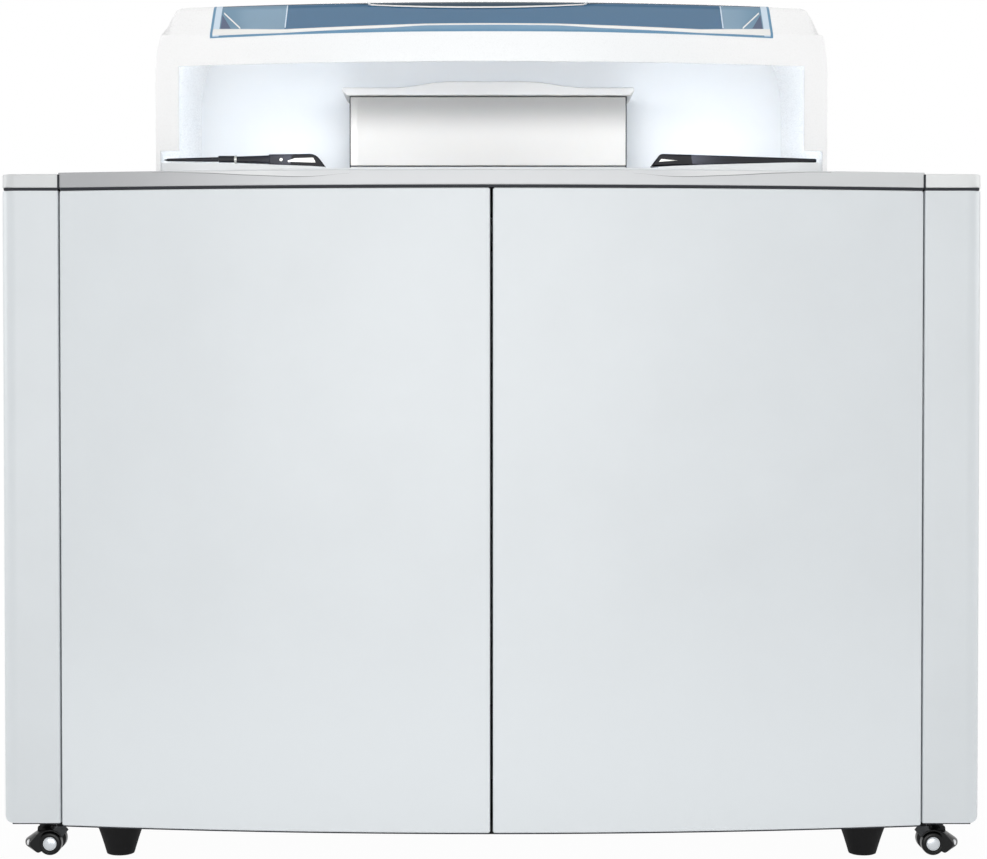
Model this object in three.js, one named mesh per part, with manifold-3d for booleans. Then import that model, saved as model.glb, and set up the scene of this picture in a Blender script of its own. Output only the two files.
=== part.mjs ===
import * as THREE from 'three';
import { mergeVertices } from 'three/addons/utils/BufferGeometryUtils.js';
import Module from 'manifold-3d';

const wasm = await Module();
wasm.setup();

// Floor-standing chemistry analyzer cabinet with a hood. Millimetres, +Z up, front towards -Y,
// origin on the floor in the middle of the footprint.

// Overall size
const WIDTH = 1300;
const DEPTH = 800;
const WORK_HEIGHT = 912;
const DOOR_BOW = 50;
const PILLAR_WIDTH = 77;
const BODY_BOTTOM = 52;
const TOP_SEAM = 4;

// Clearances
const TOUCH_GAP = 0.3;
const SEAM = 2;
const RUNNING_GAP = 0.3;
const OVERRUN = 5;
const WELD = 0.0001;

// Facets
const FINE_SIDES = 32;
const ROUND_SIDES = 16;
const SMALL_SIDES = 10;
const BORE_SIDES = 6;
const BOW_STEPS = 14;
const CORNER_STEPS = 4;

// Frame
const BASE_BAR_WIDTH = 60;
const BASE_BAR_HEIGHT = 40;
const BASE_LIFT = 4;
const CROSS_BAR_PLACE = 210;
const POST_BAR = 40;
const FRAME_SETBACK = 22;
const FLOOR_PAN_THICK = 2;

// Skins
const SKIN = 3;
const PILLAR_DEPTH = 88;
const PILLAR_RETURN = 18;
const PILLAR_CORNER = FRAME_SETBACK;
const PILLAR_FOOT_CORNER = 13;
const PILLAR_INNER_CORNER = 3;
const REAR_INSET = 3;
const LOUVRE_COUNT = 7;
const LOUVRE_LENGTH = 240;
const LOUVRE_HEIGHT = 8;
const LOUVRE_PITCH = 24;
const SIDE_LOUVRE_BASE = 150;
const SIDE_LOUVRE_INSET = 77;

// Doors
const DOOR_BOTTOM = 48.7;
const DOOR_THICK = 18;
const DOOR_SKIN = 2;
const DOOR_STILE = 22;
const DOOR_CENTRE_GAP = 3.6;
const DOOR_NOSE = 6;
const PIVOT_RADIUS = 3;
const PIVOT_REACH = 16;
const PIVOT_PLATE_THICK = 2.4;
const PIVOT_PLATE_HALF = 11;
const PIVOT_RISER_SETBACK = 18;
const CATCH_HALF_WIDTH = 32;
const CATCH_HEIGHT = 18;
const CATCH_DROP = 14;
const CATCH_AIR = 0.5;

// Worktop
const WORKTOP_THICK = 20;
const CAP_DROP = 2;

// Deck
const DECK_THICK = 8;
const DECK_MARGIN = 2;
const TUB_SIDE_SPACE = 34;
const TUB_BATH_SPACE = 54;
const BATH_TRIM = 20;
const COLUMN_TUB_SPACE = 35;
const BATH_FRONT_SPACE = 92;
const TUB_FLANGE = 8;
const TUB_FLANGE_THICK = 2;
const TUB_WALL = 3;
const TUB_DEPTH = 74;
const TUB_POST_RADIUS = 10;
const TUB_POST_HEIGHT = 32;
const DISK_RIM_GAP = 3;
const DISK_THICK = 18;
const DISK_TOP_DROP = 2;
const DISK_HUB_WALL = 8;
const HUB_ROOF_GAP = 2;
const TUBE_BORE = 7.5;
const TUBE_BORE_DEPTH = 14;
const OUTER_TUBES = 18;
const INNER_TUBES = 9;
const OUTER_TUBE_INSET = 15;
const INNER_TUBE_INSET = 42;
const DISK_KNOB_RADIUS = 14;
const DISK_KNOB_HEIGHT = 10;
const BOTTLE_COUNT = 12;
const BOTTLE_LENGTH = 46;
const BOTTLE_RIM_INSET = 6;
const BOTTLE_RISE = 2;
const BOTTLE_FILL_SHARE = 0.8;
const BOTTLE_CAP_RADIUS = 8;
const BOTTLE_CAP_HEIGHT = 3;
const CUVETTE_COUNT = 28;
const CUVETTE_DEPTH = 13;
const CUVETTE_FILL_SHARE = 0.5;

// Grey wash station in the middle of the deck
const STATION_HALF_WIDTH = 207;
const STATION_DEPTH = 120;
const STATION_HEIGHT = 140;
const STATION_WALL = 3;
const STATION_LID_SIDE = 11.5;
const STATION_LID_FRONT = 9;
const STATION_LID_EDGE = 13.5;
const STATION_LID_CREST = 9;
const CREST_FLAT = 110;
const CREST_END = 165;
const CREST_STEPS = 8;
const LID_CORNICE = 5;

// Hood
const HOOD_INSET_X = 198;
const HOOD_INSET_Y = 50;
const HOOD_BOW = 57;
const HOOD_WALL = 4;
const RAIL_TOP_RISE = 188;
const RAIL_BOTTOM_RISE = 147;
const VISOR_RUN = 48;
const ROOF_FRONT_RISE = 234;
const ROOF_REAR_RISE = 253;
const SHOULDER_RISE = 136;
const SHOULDER_WIDTH = 60;
const SHOULDER_STEPS = 5;
const JAMB_WIDTH = 32;
const GUSSET = 14;
const TIP_NOTCH_AIR = 5;
const TIP_NOTCH_HEADROOM = 8;
const HOOD_REAR_LAP = 8;
const SKIRT_AIR = 2;
const WINDOW_INSET_X = 76;
const WINDOW_SILL = 2;
const WINDOW_INSET_Y = 90;
const WINDOW_LEDGE = 8;
const LEDGE_THICK = 3;

// Rear console behind the deck
const CONSOLE_DEPTH = 246;
const CONSOLE_DROP = 25;
const CONSOLE_WALL = 4;
const CONSOLE_REAR_INSET = 4;

// Hood hinges
const HINGE_INSET = 152;
const HINGE_AXIS_BACK = 22;
const HINGE_AXIS_RISE = 12;
const KNUCKLE_RADIUS = 8;
const HINGE_PIN_RADIUS = 3;
const HINGE_HALF = 35;
const KNUCKLE_HALF = 15;
const HINGE_PLATE_THICK = 4;
const HINGE_PLATE_FRONT = 10;
const HINGE_PLATE_BACK = 38;
const LEAF_THICK = 3;
const LEAF_DOWN = 8;
const LEAF_UP = 10;
const LEAF_ARM_HALF = 4;

// Probe arms
const ARM_INSET_X = 202;
const ARM_INSET_Y = 82;
const ARM_AIR = 7.2;
const ARM_HEIGHT = 17.3;
const ARM_TAIL = 25;
const ARM_TAIL_SLOPE = 17;
const ARM_TIP = 191;
const ARM_TIP_RISE = 6.8;
const ARM_TIP_HEIGHT = 4;
const ARM_HALF_WIDTH = 9;
const ARM_TIP_HALF_WIDTH = 2.5;
const ARM_BLOCK_END = 52;
const ARM_TUBE_END = 99;
const ARM_COLLAR_END = 121;
const ARM_TUBE_RISE = 4.8;
const ARM_TUBE_HEIGHT = 10;
const ARM_COLLAR_RISE = 5.8;
const ARM_COLLAR_HEIGHT = 8;
const ARM_STEP = 2;
const COLUMN_RADIUS = 7;
const COLUMN_LENGTH = 84;
const COLUMN_STUB_RADIUS = 4.5;
const COLUMN_STUB_HEIGHT = 9;
const NEEDLE_RADIUS = 0.9;
const NEEDLE_FROM_TIP = 5;
const NEEDLE_AIR = 1.2;
const PORT_RADIUS = 5;
const PORT_DEPTH = 26;

// Castors and feet
const CASTOR_INSET_X = 50;
const CASTOR_INSET_Y = 24;
const CASTOR_AIR = 1;
const WHEEL_RADIUS = 15.5;
const WHEEL_WIDTH = 17;
const WHEEL_SPACE = 16;
const WHEEL_ROUND = 4;
const AXLE_RADIUS = 3;
const CASTOR_TRAIL = 8;
const CASTOR_BODY_HALF = 7;
const CASTOR_NECK_RADIUS = 11;
const CASTOR_STEM_RADIUS = 6;
const CASTOR_STEM_LENGTH = 24;
const CASTOR_HOOD_RADIUS = 11;
const CASTOR_COVER_AIR = 1.2;
const CASTOR_COVER_WALL = 2.2;
const CASTOR_COVER_HALF = 24;
const CASTOR_COVER_SWEEP = 30;
const CASTOR_NOSE_REACH = 26.5;
const CASTOR_NOSE_HEIGHT = 9;
const CASTOR_NOSE_SLOPE = 7;
const CASTOR_COVER_BACK_TURN = 30;
const CASTOR_COVER_NOSE_TURN = 135;
const CASTOR_COVER_FOOT_TURN = 218;
const CASTOR_COVER_STEPS = 6;
const FOOT_INSET_X = 150;
const FOOT_HEIGHT = 46;
const FOOT_TOP_RADIUS = 33;
const FOOT_BOTTOM_RADIUS = 19;
const FOOT_EDGE = 3;
const STUD_RADIUS = 6;
const STUD_LENGTH = 20;
const FOOT_TRAVEL = 2.5;

// Services in the cabinet
const TANK_WIDTH = 200;
const TANK_DEPTH = 280;
const TANK_HEIGHT = 300;
const TANK_CORNER = 30;
const TANK_INSET_X = 90;
const TANK_INSET_Y = 148;
const TANK_NECK_RADIUS = 26;
const TANK_NECK_HEIGHT = 14;
const TANK_CAP_RADIUS = 32;
const TANK_CAP_HEIGHT = 18;
const SUPPLY_WIDTH = 280;
const SUPPLY_DEPTH = 260;
const SUPPLY_HEIGHT = 150;
const TANK_SPACE = 40;
const SUPPLY_INSET_Y = 74;
const SUPPLY_SLOTS = 8;
const SUPPLY_SLOT_WIDTH = 6;
const SUPPLY_SLOT_DEPTH = 3;
const SUPPLY_SLOT_MARGIN = 30;
const PUMP_INSET_Y = 174;
const PUMP_BASE_WIDTH = 120;
const PUMP_BASE_DEPTH = 200;
const PUMP_BASE_THICK = 12;
const PUMP_MOTOR_RADIUS = 42;
const PUMP_MOTOR_LENGTH = 110;
const PUMP_HEAD_RADIUS = 50;
const PUMP_HEAD_LENGTH = 34;
const PUMP_SADDLE_WIDTH = 60;

// Fan, inlet and switch in the rear panel
const FAN_INSET_X = 250;
const FAN_DROP = 238;
const FAN_HALF = 62;
const FAN_DEPTH = 26;
const FAN_BORE = 57;
const FAN_SPOKE = 5;
const FAN_SPOKE_THICK = 3;
const FAN_BOSS_RADIUS = 20;
const FAN_SPINDLE_RADIUS = 3;
const FAN_SPINDLE_LENGTH = 18;
const FAN_HUB_RADIUS = 20;
const FAN_HUB_LENGTH = 16;
const FAN_BLADES = 7;
const FAN_BLADE_TIP = 54;
const FAN_BLADE_THICK = 2;
const FAN_BLADE_PITCH = 35;
const FAN_BLADE_CHORD = 17;
const INLET_INSET_X = 170;
const INLET_RISE = 148;
const INLET_HALF_WIDTH = 26;
const INLET_HALF_HEIGHT = 36;
const INLET_FLANGE = 2.5;
const INLET_LIP = 5;
const INLET_BODY_DEPTH = 30;
const SOCKET_HALF_WIDTH = 12;
const SOCKET_HALF_HEIGHT = 8;
const SOCKET_DEPTH = 18;
const SOCKET_DROP = 15;
const SOCKET_PIN = 2;
const SOCKET_PIN_LENGTH = 14;
const SOCKET_PIN_PITCH = 7;
const ROCKER_HALF_WIDTH = 9;
const ROCKER_HALF_HEIGHT = 12;
const ROCKER_RISE = 15;
const ROCKER_AIR = 0.8;
const ROCKER_DEPTH = 11;
const ROCKER_PIN_RADIUS = 1.6;
const ROCKER_TILT = 7;
const ROCKER_PROUD = 0.5;

// Values worked out from the sizes above
const HALF_WIDTH = WIDTH / 2;
const HALF_DEPTH = DEPTH / 2;
const PILLAR_FRONT = DOOR_BOW - HALF_DEPTH;
const PILLAR_INNER = HALF_WIDTH - PILLAR_WIDTH;
const DOOR_EDGE = PILLAR_INNER - SEAM;
const BOW_RADIUS = (DOOR_EDGE ** 2 + DOOR_BOW ** 2) / (2 * DOOR_BOW);
const PANEL_INNER = HALF_WIDTH - SKIN;
const REAR_FACE = HALF_DEPTH - REAR_INSET;
const FRAME_BACK = REAR_FACE - SKIN;
const FRAME_FRONT = PILLAR_FRONT + FRAME_SETBACK;
const BASE_BOTTOM = BODY_BOTTOM + BASE_LIFT;
const BASE_TOP = BASE_BOTTOM + BASE_BAR_HEIGHT;
const PAN_TOP = BASE_TOP + FLOOR_PAN_THICK;
const WORKTOP_BOTTOM = WORK_HEIGHT - WORKTOP_THICK;
const BODY_TOP = WORKTOP_BOTTOM - TOP_SEAM;
const DOOR_TOP = BODY_TOP;
const DECK_TOP = WORK_HEIGHT + DECK_THICK;
const PANEL_FRONT = PILLAR_FRONT + PILLAR_DEPTH + SEAM;
const SIDE_LOUVRE_PLACE = REAR_FACE - SIDE_LOUVRE_INSET - LOUVRE_LENGTH;
const HOOD_HALF_WIDTH = HALF_WIDTH - HOOD_INSET_X;
const HOOD_FRONT = HOOD_INSET_Y - HALF_DEPTH;
const HOOD_RADIUS = (HOOD_HALF_WIDTH ** 2 + HOOD_BOW ** 2) / (2 * HOOD_BOW);
const RAIL_TOP = WORK_HEIGHT + RAIL_TOP_RISE;
const RAIL_BOTTOM = WORK_HEIGHT + RAIL_BOTTOM_RISE;
const ROOF_FRONT = WORK_HEIGHT + ROOF_FRONT_RISE;
const ROOF_REAR = WORK_HEIGHT + ROOF_REAR_RISE;
const SHOULDER_START = WORK_HEIGHT + SHOULDER_RISE;
const CONSOLE_FRONT = HALF_DEPTH - CONSOLE_REAR_INSET - CONSOLE_DEPTH;
const CONSOLE_TOP = ROOF_REAR - CONSOLE_DROP;
const WINDOW_HALF_WIDTH = HOOD_HALF_WIDTH - WINDOW_INSET_X;
const WINDOW_BACK = CONSOLE_FRONT - WINDOW_INSET_Y;
const STATION_FRONT = CONSOLE_FRONT - STATION_DEPTH;
const TUB_RADIUS = (HOOD_HALF_WIDTH - TUB_SIDE_SPACE - TUB_BATH_SPACE + BATH_TRIM) / 3;
const BATH_RADIUS = TUB_RADIUS - BATH_TRIM;
const DISK_PLACE_X = HOOD_HALF_WIDTH - TUB_SIDE_SPACE - TUB_RADIUS;
const BATH_PLACE_Y = HOOD_FRONT + BATH_FRONT_SPACE + BATH_RADIUS;
const HINGE_PLACE = HOOD_HALF_WIDTH - HINGE_INSET;
const HINGE_AXIS_Y = CONSOLE_FRONT + HINGE_AXIS_BACK;
const HINGE_AXIS_Z = CONSOLE_TOP + HINGE_AXIS_RISE;
const HOOD_REAR = CONSOLE_FRONT + HOOD_REAR_LAP;
const ARM_PLACE_X = HOOD_HALF_WIDTH - ARM_INSET_X;
const ARM_PLACE_Y = HOOD_FRONT + ARM_INSET_Y;
const DISK_PLACE_Y = ARM_PLACE_Y + COLUMN_TUB_SPACE + TUB_RADIUS;
const ARM_BOTTOM = DECK_TOP + ARM_AIR;
const ARM_TOP = ARM_BOTTOM + ARM_HEIGHT;
const ARM_TIP_LOW = ARM_BOTTOM + ARM_TIP_RISE;
const ARM_TIP_HIGH = ARM_TIP_LOW + ARM_TIP_HEIGHT;
const ARM_TUBE_LOW = ARM_BOTTOM + ARM_TUBE_RISE;
const ARM_TUBE_HIGH = ARM_TUBE_LOW + ARM_TUBE_HEIGHT;
const ARM_COLLAR_LOW = ARM_BOTTOM + ARM_COLLAR_RISE;
const ARM_COLLAR_HIGH = ARM_COLLAR_LOW + ARM_COLLAR_HEIGHT;
const NEEDLE_BOTTOM = DECK_TOP + NEEDLE_AIR;
const CASTOR_PLACE_X = HALF_WIDTH - CASTOR_INSET_X;
const FOOT_PLACE_X = HALF_WIDTH - FOOT_INSET_X;
const FRONT_FOOT_Y = FRAME_FRONT + POST_BAR / 2;
const REAR_FOOT_Y = FRAME_BACK - BASE_BAR_WIDTH / 2;
const TANK_PLACE_X = HALF_WIDTH - TANK_INSET_X - TANK_WIDTH / 2;
const TANK_FRONT = FRAME_FRONT + TANK_INSET_Y;
const SUPPLY_LEFT = TANK_WIDTH / 2 + TANK_SPACE - TANK_PLACE_X;
const SUPPLY_FRONT = FRAME_BACK - SUPPLY_INSET_Y - SUPPLY_DEPTH;
const PUMP_LEFT = TANK_PLACE_X - TANK_WIDTH / 2 - TANK_SPACE - PUMP_BASE_WIDTH;
const PUMP_FRONT = FRAME_BACK - PUMP_INSET_Y - PUMP_BASE_DEPTH;
const FAN_PLACE_X = FAN_INSET_X - HALF_WIDTH;
const FAN_PLACE_Z = BODY_TOP - FAN_DROP;
const INLET_PLACE_X = HALF_WIDTH - INLET_INSET_X;
const INLET_PLACE_Z = BODY_BOTTOM + INLET_RISE;

// Helpers: closed geometries become solids, and solids are joined, cut and turned back

function isInsideOut(position, triangles) {
  let volume = 0;
  const [a, b, c] = [new THREE.Vector3(), new THREE.Vector3(), new THREE.Vector3()];
  for (let i = 0; i < triangles.length; i += 3) {
    a.fromArray(position, triangles[i] * 3);
    b.fromArray(position, triangles[i + 1] * 3);
    c.fromArray(position, triangles[i + 2] * 3);
    volume += a.dot(b.cross(c));
  }
  return volume < 0;
}

function solidOf(geometry) {
  const bare = geometry.clone();
  bare.deleteAttribute('normal');
  bare.deleteAttribute('uv');
  const merged = mergeVertices(bare, WELD);
  const index = merged.index.array;
  const kept = [];
  for (let i = 0; i < index.length; i += 3) {
    const [a, b, c] = [index[i], index[i + 1], index[i + 2]];
    if (a !== b && b !== c && a !== c) kept.push(a, b, c);
  }
  const position = new Float32Array(merged.attributes.position.array);
  if (isInsideOut(position, kept)) kept.reverse();
  const triVerts = new Uint32Array(kept);
  return new wasm.Manifold(new wasm.Mesh({ numProp: 3, vertProperties: position, triVerts }));
}

function geometryOf(body) {
  const mesh = body.getMesh();
  const geometry = new THREE.BufferGeometry();
  const position = new Float32Array(mesh.vertProperties);
  geometry.setAttribute('position', new THREE.BufferAttribute(position, 3));
  geometry.setIndex(new THREE.BufferAttribute(new Uint32Array(mesh.triVerts), 1));
  geometry.computeVertexNormals();
  return geometry;
}

function joined(first, ...others) {
  return others.reduce((body, other) => body.add(other), first);
}

function cut(body, ...tools) {
  return tools.reduce((rest, tool) => rest.subtract(tool), body);
}

function block([x0, y0, z0], [x1, y1, z1]) {
  const geometry = new THREE.BoxGeometry(x1 - x0, y1 - y0, z1 - z0);
  geometry.translate((x0 + x1) / 2, (y0 + y1) / 2, (z0 + z1) / 2);
  return solidOf(geometry);
}

// A profile of [radius, height] points turned about an axis; the heights run along that axis.
function turned(profile, sides, centre = [0, 0, 0], axis = 'z') {
  const points = profile.map(([radius, height]) => new THREE.Vector2(radius, height));
  const geometry = new THREE.LatheGeometry(points, sides);
  geometry.rotateX(Math.PI / 2);
  if (axis === 'x') geometry.rotateY(Math.PI / 2);
  if (axis === 'y') geometry.rotateX(-Math.PI / 2);
  geometry.translate(...centre);
  return solidOf(geometry);
}

function disc(radius, low, high, sides, centre, axis) {
  return turned([[0, low], [radius, low], [radius, high], [0, high]], sides, centre, axis);
}

// Radius of a bore whose flats clear a round pin that turns in it.
function boreFor(pinRadius, sides) {
  return (pinRadius + RUNNING_GAP) / Math.cos(Math.PI / sides);
}

function shapeOf(outline) {
  return new THREE.Shape(outline.map(([u, v]) => new THREE.Vector2(u, v)));
}

// An outline of [x, y] points raised from one height to another.
function raised(outline, low, high) {
  const geometry = new THREE.ExtrudeGeometry(shapeOf(outline), { depth: high - low, bevelEnabled: false });
  geometry.translate(0, 0, low);
  return solidOf(geometry);
}

// An outline of [y, z] points run along X.
function runAcross(outline, left, right) {
  const geometry = new THREE.ExtrudeGeometry(shapeOf(outline), { depth: right - left, bevelEnabled: false });
  const [alongY, alongZ, alongX] = [[0, 1, 0], [0, 0, 1], [1, 0, 0]].map((v) => new THREE.Vector3(...v));
  geometry.applyMatrix4(new THREE.Matrix4().makeBasis(alongY, alongZ, alongX));
  geometry.translate(left, 0, 0);
  return solidOf(geometry);
}

// An outline of [x, z] points run along Y.
function runBack(outline, front, back) {
  const geometry = new THREE.ExtrudeGeometry(shapeOf(outline), { depth: back - front, bevelEnabled: false });
  const [alongX, alongZ, forward] = [[1, 0, 0], [0, 0, 1], [0, -1, 0]].map((v) => new THREE.Vector3(...v));
  geometry.applyMatrix4(new THREE.Matrix4().makeBasis(alongX, alongZ, forward));
  geometry.translate(0, back, 0);
  return solidOf(geometry);
}

// Rings of [y, z] points at rising X, anticlockwise seen from +X, skinned and closed at both ends.
function lofted(stations, ringAt) {
  const rings = stations.map((x) => ringAt(x));
  const count = rings[0].length;
  const position = rings.flatMap((ring, i) => ring.flatMap(([y, z]) => [stations[i], y, z]));
  const faces = [];
  for (let i = 0; i + 1 < rings.length; i += 1) {
    for (let j = 0; j < count; j += 1) {
      const next = (j + 1) % count;
      const [a, b] = [i * count + j, i * count + next];
      faces.push(a, b, b + count, a, b + count, a + count);
    }
  }
  const capOf = (ring) => {
    return THREE.ShapeUtils.triangulateShape(ring.map(([y, z]) => new THREE.Vector2(y, z)), []);
  };
  capOf(rings[0]).forEach(([a, b, c]) => faces.push(c, b, a));
  const last = (rings.length - 1) * count;
  capOf(rings[rings.length - 1]).forEach(([a, b, c]) => faces.push(last + a, last + b, last + c));
  const geometry = new THREE.BufferGeometry();
  geometry.setAttribute('position', new THREE.BufferAttribute(new Float32Array(position), 3));
  geometry.setIndex(faces);
  return solidOf(geometry);
}

function arcPoints([u, v], radius, from, to, steps) {
  return Array.from({ length: steps + 1 }, (_, i) => {
    const angle = from + (to - from) * (i / steps);
    return [u + radius * Math.cos(angle), v + radius * Math.sin(angle)];
  });
}

function spread(from, to, steps) {
  return Array.from({ length: steps + 1 }, (_, i) => from + (to - from) * (i / steps));
}

function roundedBlock(halfWidth, halfDepth, radius, [x, y], low, high) {
  const [u, v, quarter] = [halfWidth - radius, halfDepth - radius, Math.PI / 2];
  const corner = (cu, cv, turn) => arcPoints([x + cu, y + cv], radius, turn, turn + quarter, CORNER_STEPS);
  const outline = [
    ...corner(u, v, 0),
    ...corner(-u, v, quarter),
    ...corner(-u, -v, 2 * quarter),
    ...corner(u, -v, 3 * quarter),
  ];
  return raised(outline, low, high);
}

function mirroredX(body) {
  return body.mirror([1, 0, 0]);
}

function sideOf(body, side) {
  return side > 0 ? body : mirroredX(body);
}

// Height of the front face of doors and worktop behind the front, at x; inset runs inwards.
function bowFront(x, inset = 0) {
  return BOW_RADIUS - HALF_DEPTH - Math.sqrt((BOW_RADIUS - inset) ** 2 - x * x);
}

function bowLine(from, to, inset, steps) {
  return spread(from, to, steps).map((x) => [x, bowFront(x, inset)]);
}

// Materials
function finish(color, roughness, metalness = 0) {
  return new THREE.MeshStandardMaterial({ color, roughness, metalness });
}

const doorWhite = finish(0xdee3e6, 0.45);
const capGrey = finish(0xd9dadc, 0.4);
const worktopGrey = finish(0xc9cbcb, 0.4);
const deckWhite = finish(0xf6f8f9, 0.35);
const stationGrey = finish(0xe1e2e2, 0.45);
const hoodWhite = finish(0xfcfeff, 0.3);
const tintedBlue = new THREE.MeshStandardMaterial({
  color: 0x5f809a, roughness: 0.1, metalness: 0, transparent: true, opacity: 0.6,
});
const frameSteel = finish(0x9a9ea2, 0.5, 0.6);
const brightSteel = finish(0xc8ccd0, 0.25, 1);
const armBlack = finish(0x22252d, 0.4);
const rubberBlack = finish(0x1d1d1d, 0.7);
const tankPlastic = finish(0xe8ecef, 0.5);
const serviceGrey = finish(0x6f7478, 0.5, 0.3);
const blackPlastic = finish(0x24262a, 0.5);

const analyzer = new THREE.Group();

function place(name, body, material) {
  const mesh = new THREE.Mesh(geometryOf(body), material);
  mesh.name = name;
  analyzer.add(mesh);
}

const sides = [['left', -1], ['right', 1]];
const corners = [
  ['front_left', -1, FRONT_FOOT_Y],
  ['front_right', 1, FRONT_FOOT_Y],
  ['rear_left', -1, REAR_FOOT_Y],
  ['rear_right', 1, REAR_FOOT_Y],
];

// Frame

function castorY(footY) {
  return footY < 0 ? FRAME_FRONT + CASTOR_INSET_Y : FRAME_BACK - CASTOR_INSET_Y - CASTOR_TRAIL;
}

function baseFrame() {
  const inner = PANEL_INNER - BASE_BAR_WIDTH;
  const outline = block([-PANEL_INNER, FRAME_FRONT, BASE_BOTTOM], [PANEL_INNER, FRAME_BACK, BASE_TOP]);
  const [front, back] = [FRAME_FRONT + BASE_BAR_WIDTH, FRAME_BACK - BASE_BAR_WIDTH];
  const opening = block([-inner, front, BASE_BOTTOM - OVERRUN], [inner, back, BASE_TOP + OVERRUN]);
  const crossBars = [-1, 1].map((side) => {
    const middle = side * CROSS_BAR_PLACE;
    const half = POST_BAR / 2;
    return block([middle - half, front - OVERRUN, BASE_BOTTOM], [middle + half, back + OVERRUN, BASE_TOP]);
  });
  const low = BASE_BOTTOM - OVERRUN;
  const studTop = FOOT_HEIGHT + STUD_LENGTH + FOOT_TRAVEL + SEAM;
  const stemTop = BASE_BOTTOM + CASTOR_STEM_LENGTH + SEAM;
  const studBore = boreFor(STUD_RADIUS, SMALL_SIDES);
  const stemBore = boreFor(CASTOR_STEM_RADIUS, SMALL_SIDES);
  const sockets = corners.flatMap(([, side, y]) => [
    disc(studBore, low, studTop, SMALL_SIDES, [side * FOOT_PLACE_X, y, 0]),
    disc(stemBore, low, stemTop, SMALL_SIDES, [side * CASTOR_PLACE_X, castorY(y), 0]),
  ]);
  return cut(joined(cut(outline, opening), ...crossBars), ...sockets);
}

function upperFrame() {
  const inner = PANEL_INNER - POST_BAR;
  const [front, back] = [FRAME_FRONT + POST_BAR, FRAME_BACK - POST_BAR];
  const cage = block([-PANEL_INNER, FRAME_FRONT, BASE_TOP], [PANEL_INNER, FRAME_BACK, WORKTOP_BOTTOM]);
  const room = block([-inner, front, BASE_TOP - OVERRUN], [inner, back, WORKTOP_BOTTOM + OVERRUN]);
  const railBottom = WORKTOP_BOTTOM - POST_BAR;
  const throughFront = block(
    [-inner, FRAME_FRONT - OVERRUN, BASE_TOP - OVERRUN],
    [inner, FRAME_BACK + OVERRUN, railBottom],
  );
  const throughSides = block(
    [-PANEL_INNER - OVERRUN, front, BASE_TOP - OVERRUN],
    [PANEL_INNER + OVERRUN, back, railBottom],
  );
  return cut(cage, room, throughFront, throughSides);
}

function floorPan() {
  const reach = PANEL_INNER - POST_BAR - TOUCH_GAP;
  return block([-reach, FRAME_FRONT, BASE_TOP], [reach, FRAME_BACK, PAN_TOP]);
}

place('base_frame', baseFrame(), frameSteel);
place('upper_frame', upperFrame(), frameSteel);
place('floor_pan', floorPan(), frameSteel);

// Front pillars: a folded cover with a round outer corner and a rib back to the frame post

function pillar() {
  const [front, back] = [PILLAR_FRONT, PILLAR_FRONT + PILLAR_DEPTH];
  const skinLine = (inset) => [
    [PILLAR_INNER + inset, front + PILLAR_RETURN],
    ...arcPoints(
      [PILLAR_INNER + PILLAR_INNER_CORNER, front + PILLAR_INNER_CORNER],
      PILLAR_INNER_CORNER - inset, Math.PI, 1.5 * Math.PI, CORNER_STEPS,
    ),
    ...arcPoints(
      [HALF_WIDTH - PILLAR_CORNER, front + PILLAR_CORNER],
      PILLAR_CORNER - inset, -Math.PI / 2, 0, CORNER_STEPS,
    ),
    [HALF_WIDTH - inset, back],
  ];
  const skinThick = SKIN - TOUCH_GAP;
  const skin = raised([...skinLine(0), ...skinLine(skinThick).reverse()], BODY_BOTTOM, BODY_TOP);
  const ribMiddle = HALF_WIDTH - PILLAR_WIDTH / 2;
  const rib = block(
    [ribMiddle - SKIN / 2, front + skinThick / 2, BODY_BOTTOM + PILLAR_CORNER],
    [ribMiddle + SKIN / 2, FRAME_FRONT - TOUCH_GAP, BODY_TOP - PILLAR_CORNER],
  );
  const radius = PILLAR_FOOT_CORNER;
  const faceLine = [
    [0, BODY_BOTTOM],
    ...arcPoints([HALF_WIDTH - radius, BODY_BOTTOM + radius], radius, -Math.PI / 2, 0, CORNER_STEPS),
    [HALF_WIDTH, BODY_TOP],
    [0, BODY_TOP],
  ];
  const face = runBack(faceLine, front - OVERRUN, back + OVERRUN);
  return joined(skin, rib).intersect(face);
}

sides.forEach(([name, side]) => place(`${name}_pillar`, sideOf(pillar(), side), doorWhite));

// Side and rear panels

function sidePanel() {
  const panel = block([PANEL_INNER, PANEL_FRONT, BODY_BOTTOM], [HALF_WIDTH, REAR_FACE, BODY_TOP]);
  const louvres = Array.from({ length: LOUVRE_COUNT }, (_, i) => {
    const low = SIDE_LOUVRE_BASE + i * LOUVRE_PITCH;
    return block(
      [PANEL_INNER - OVERRUN, SIDE_LOUVRE_PLACE, low],
      [HALF_WIDTH + OVERRUN, SIDE_LOUVRE_PLACE + LOUVRE_LENGTH, low + LOUVRE_HEIGHT],
    );
  });
  return cut(panel, ...louvres);
}

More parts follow.
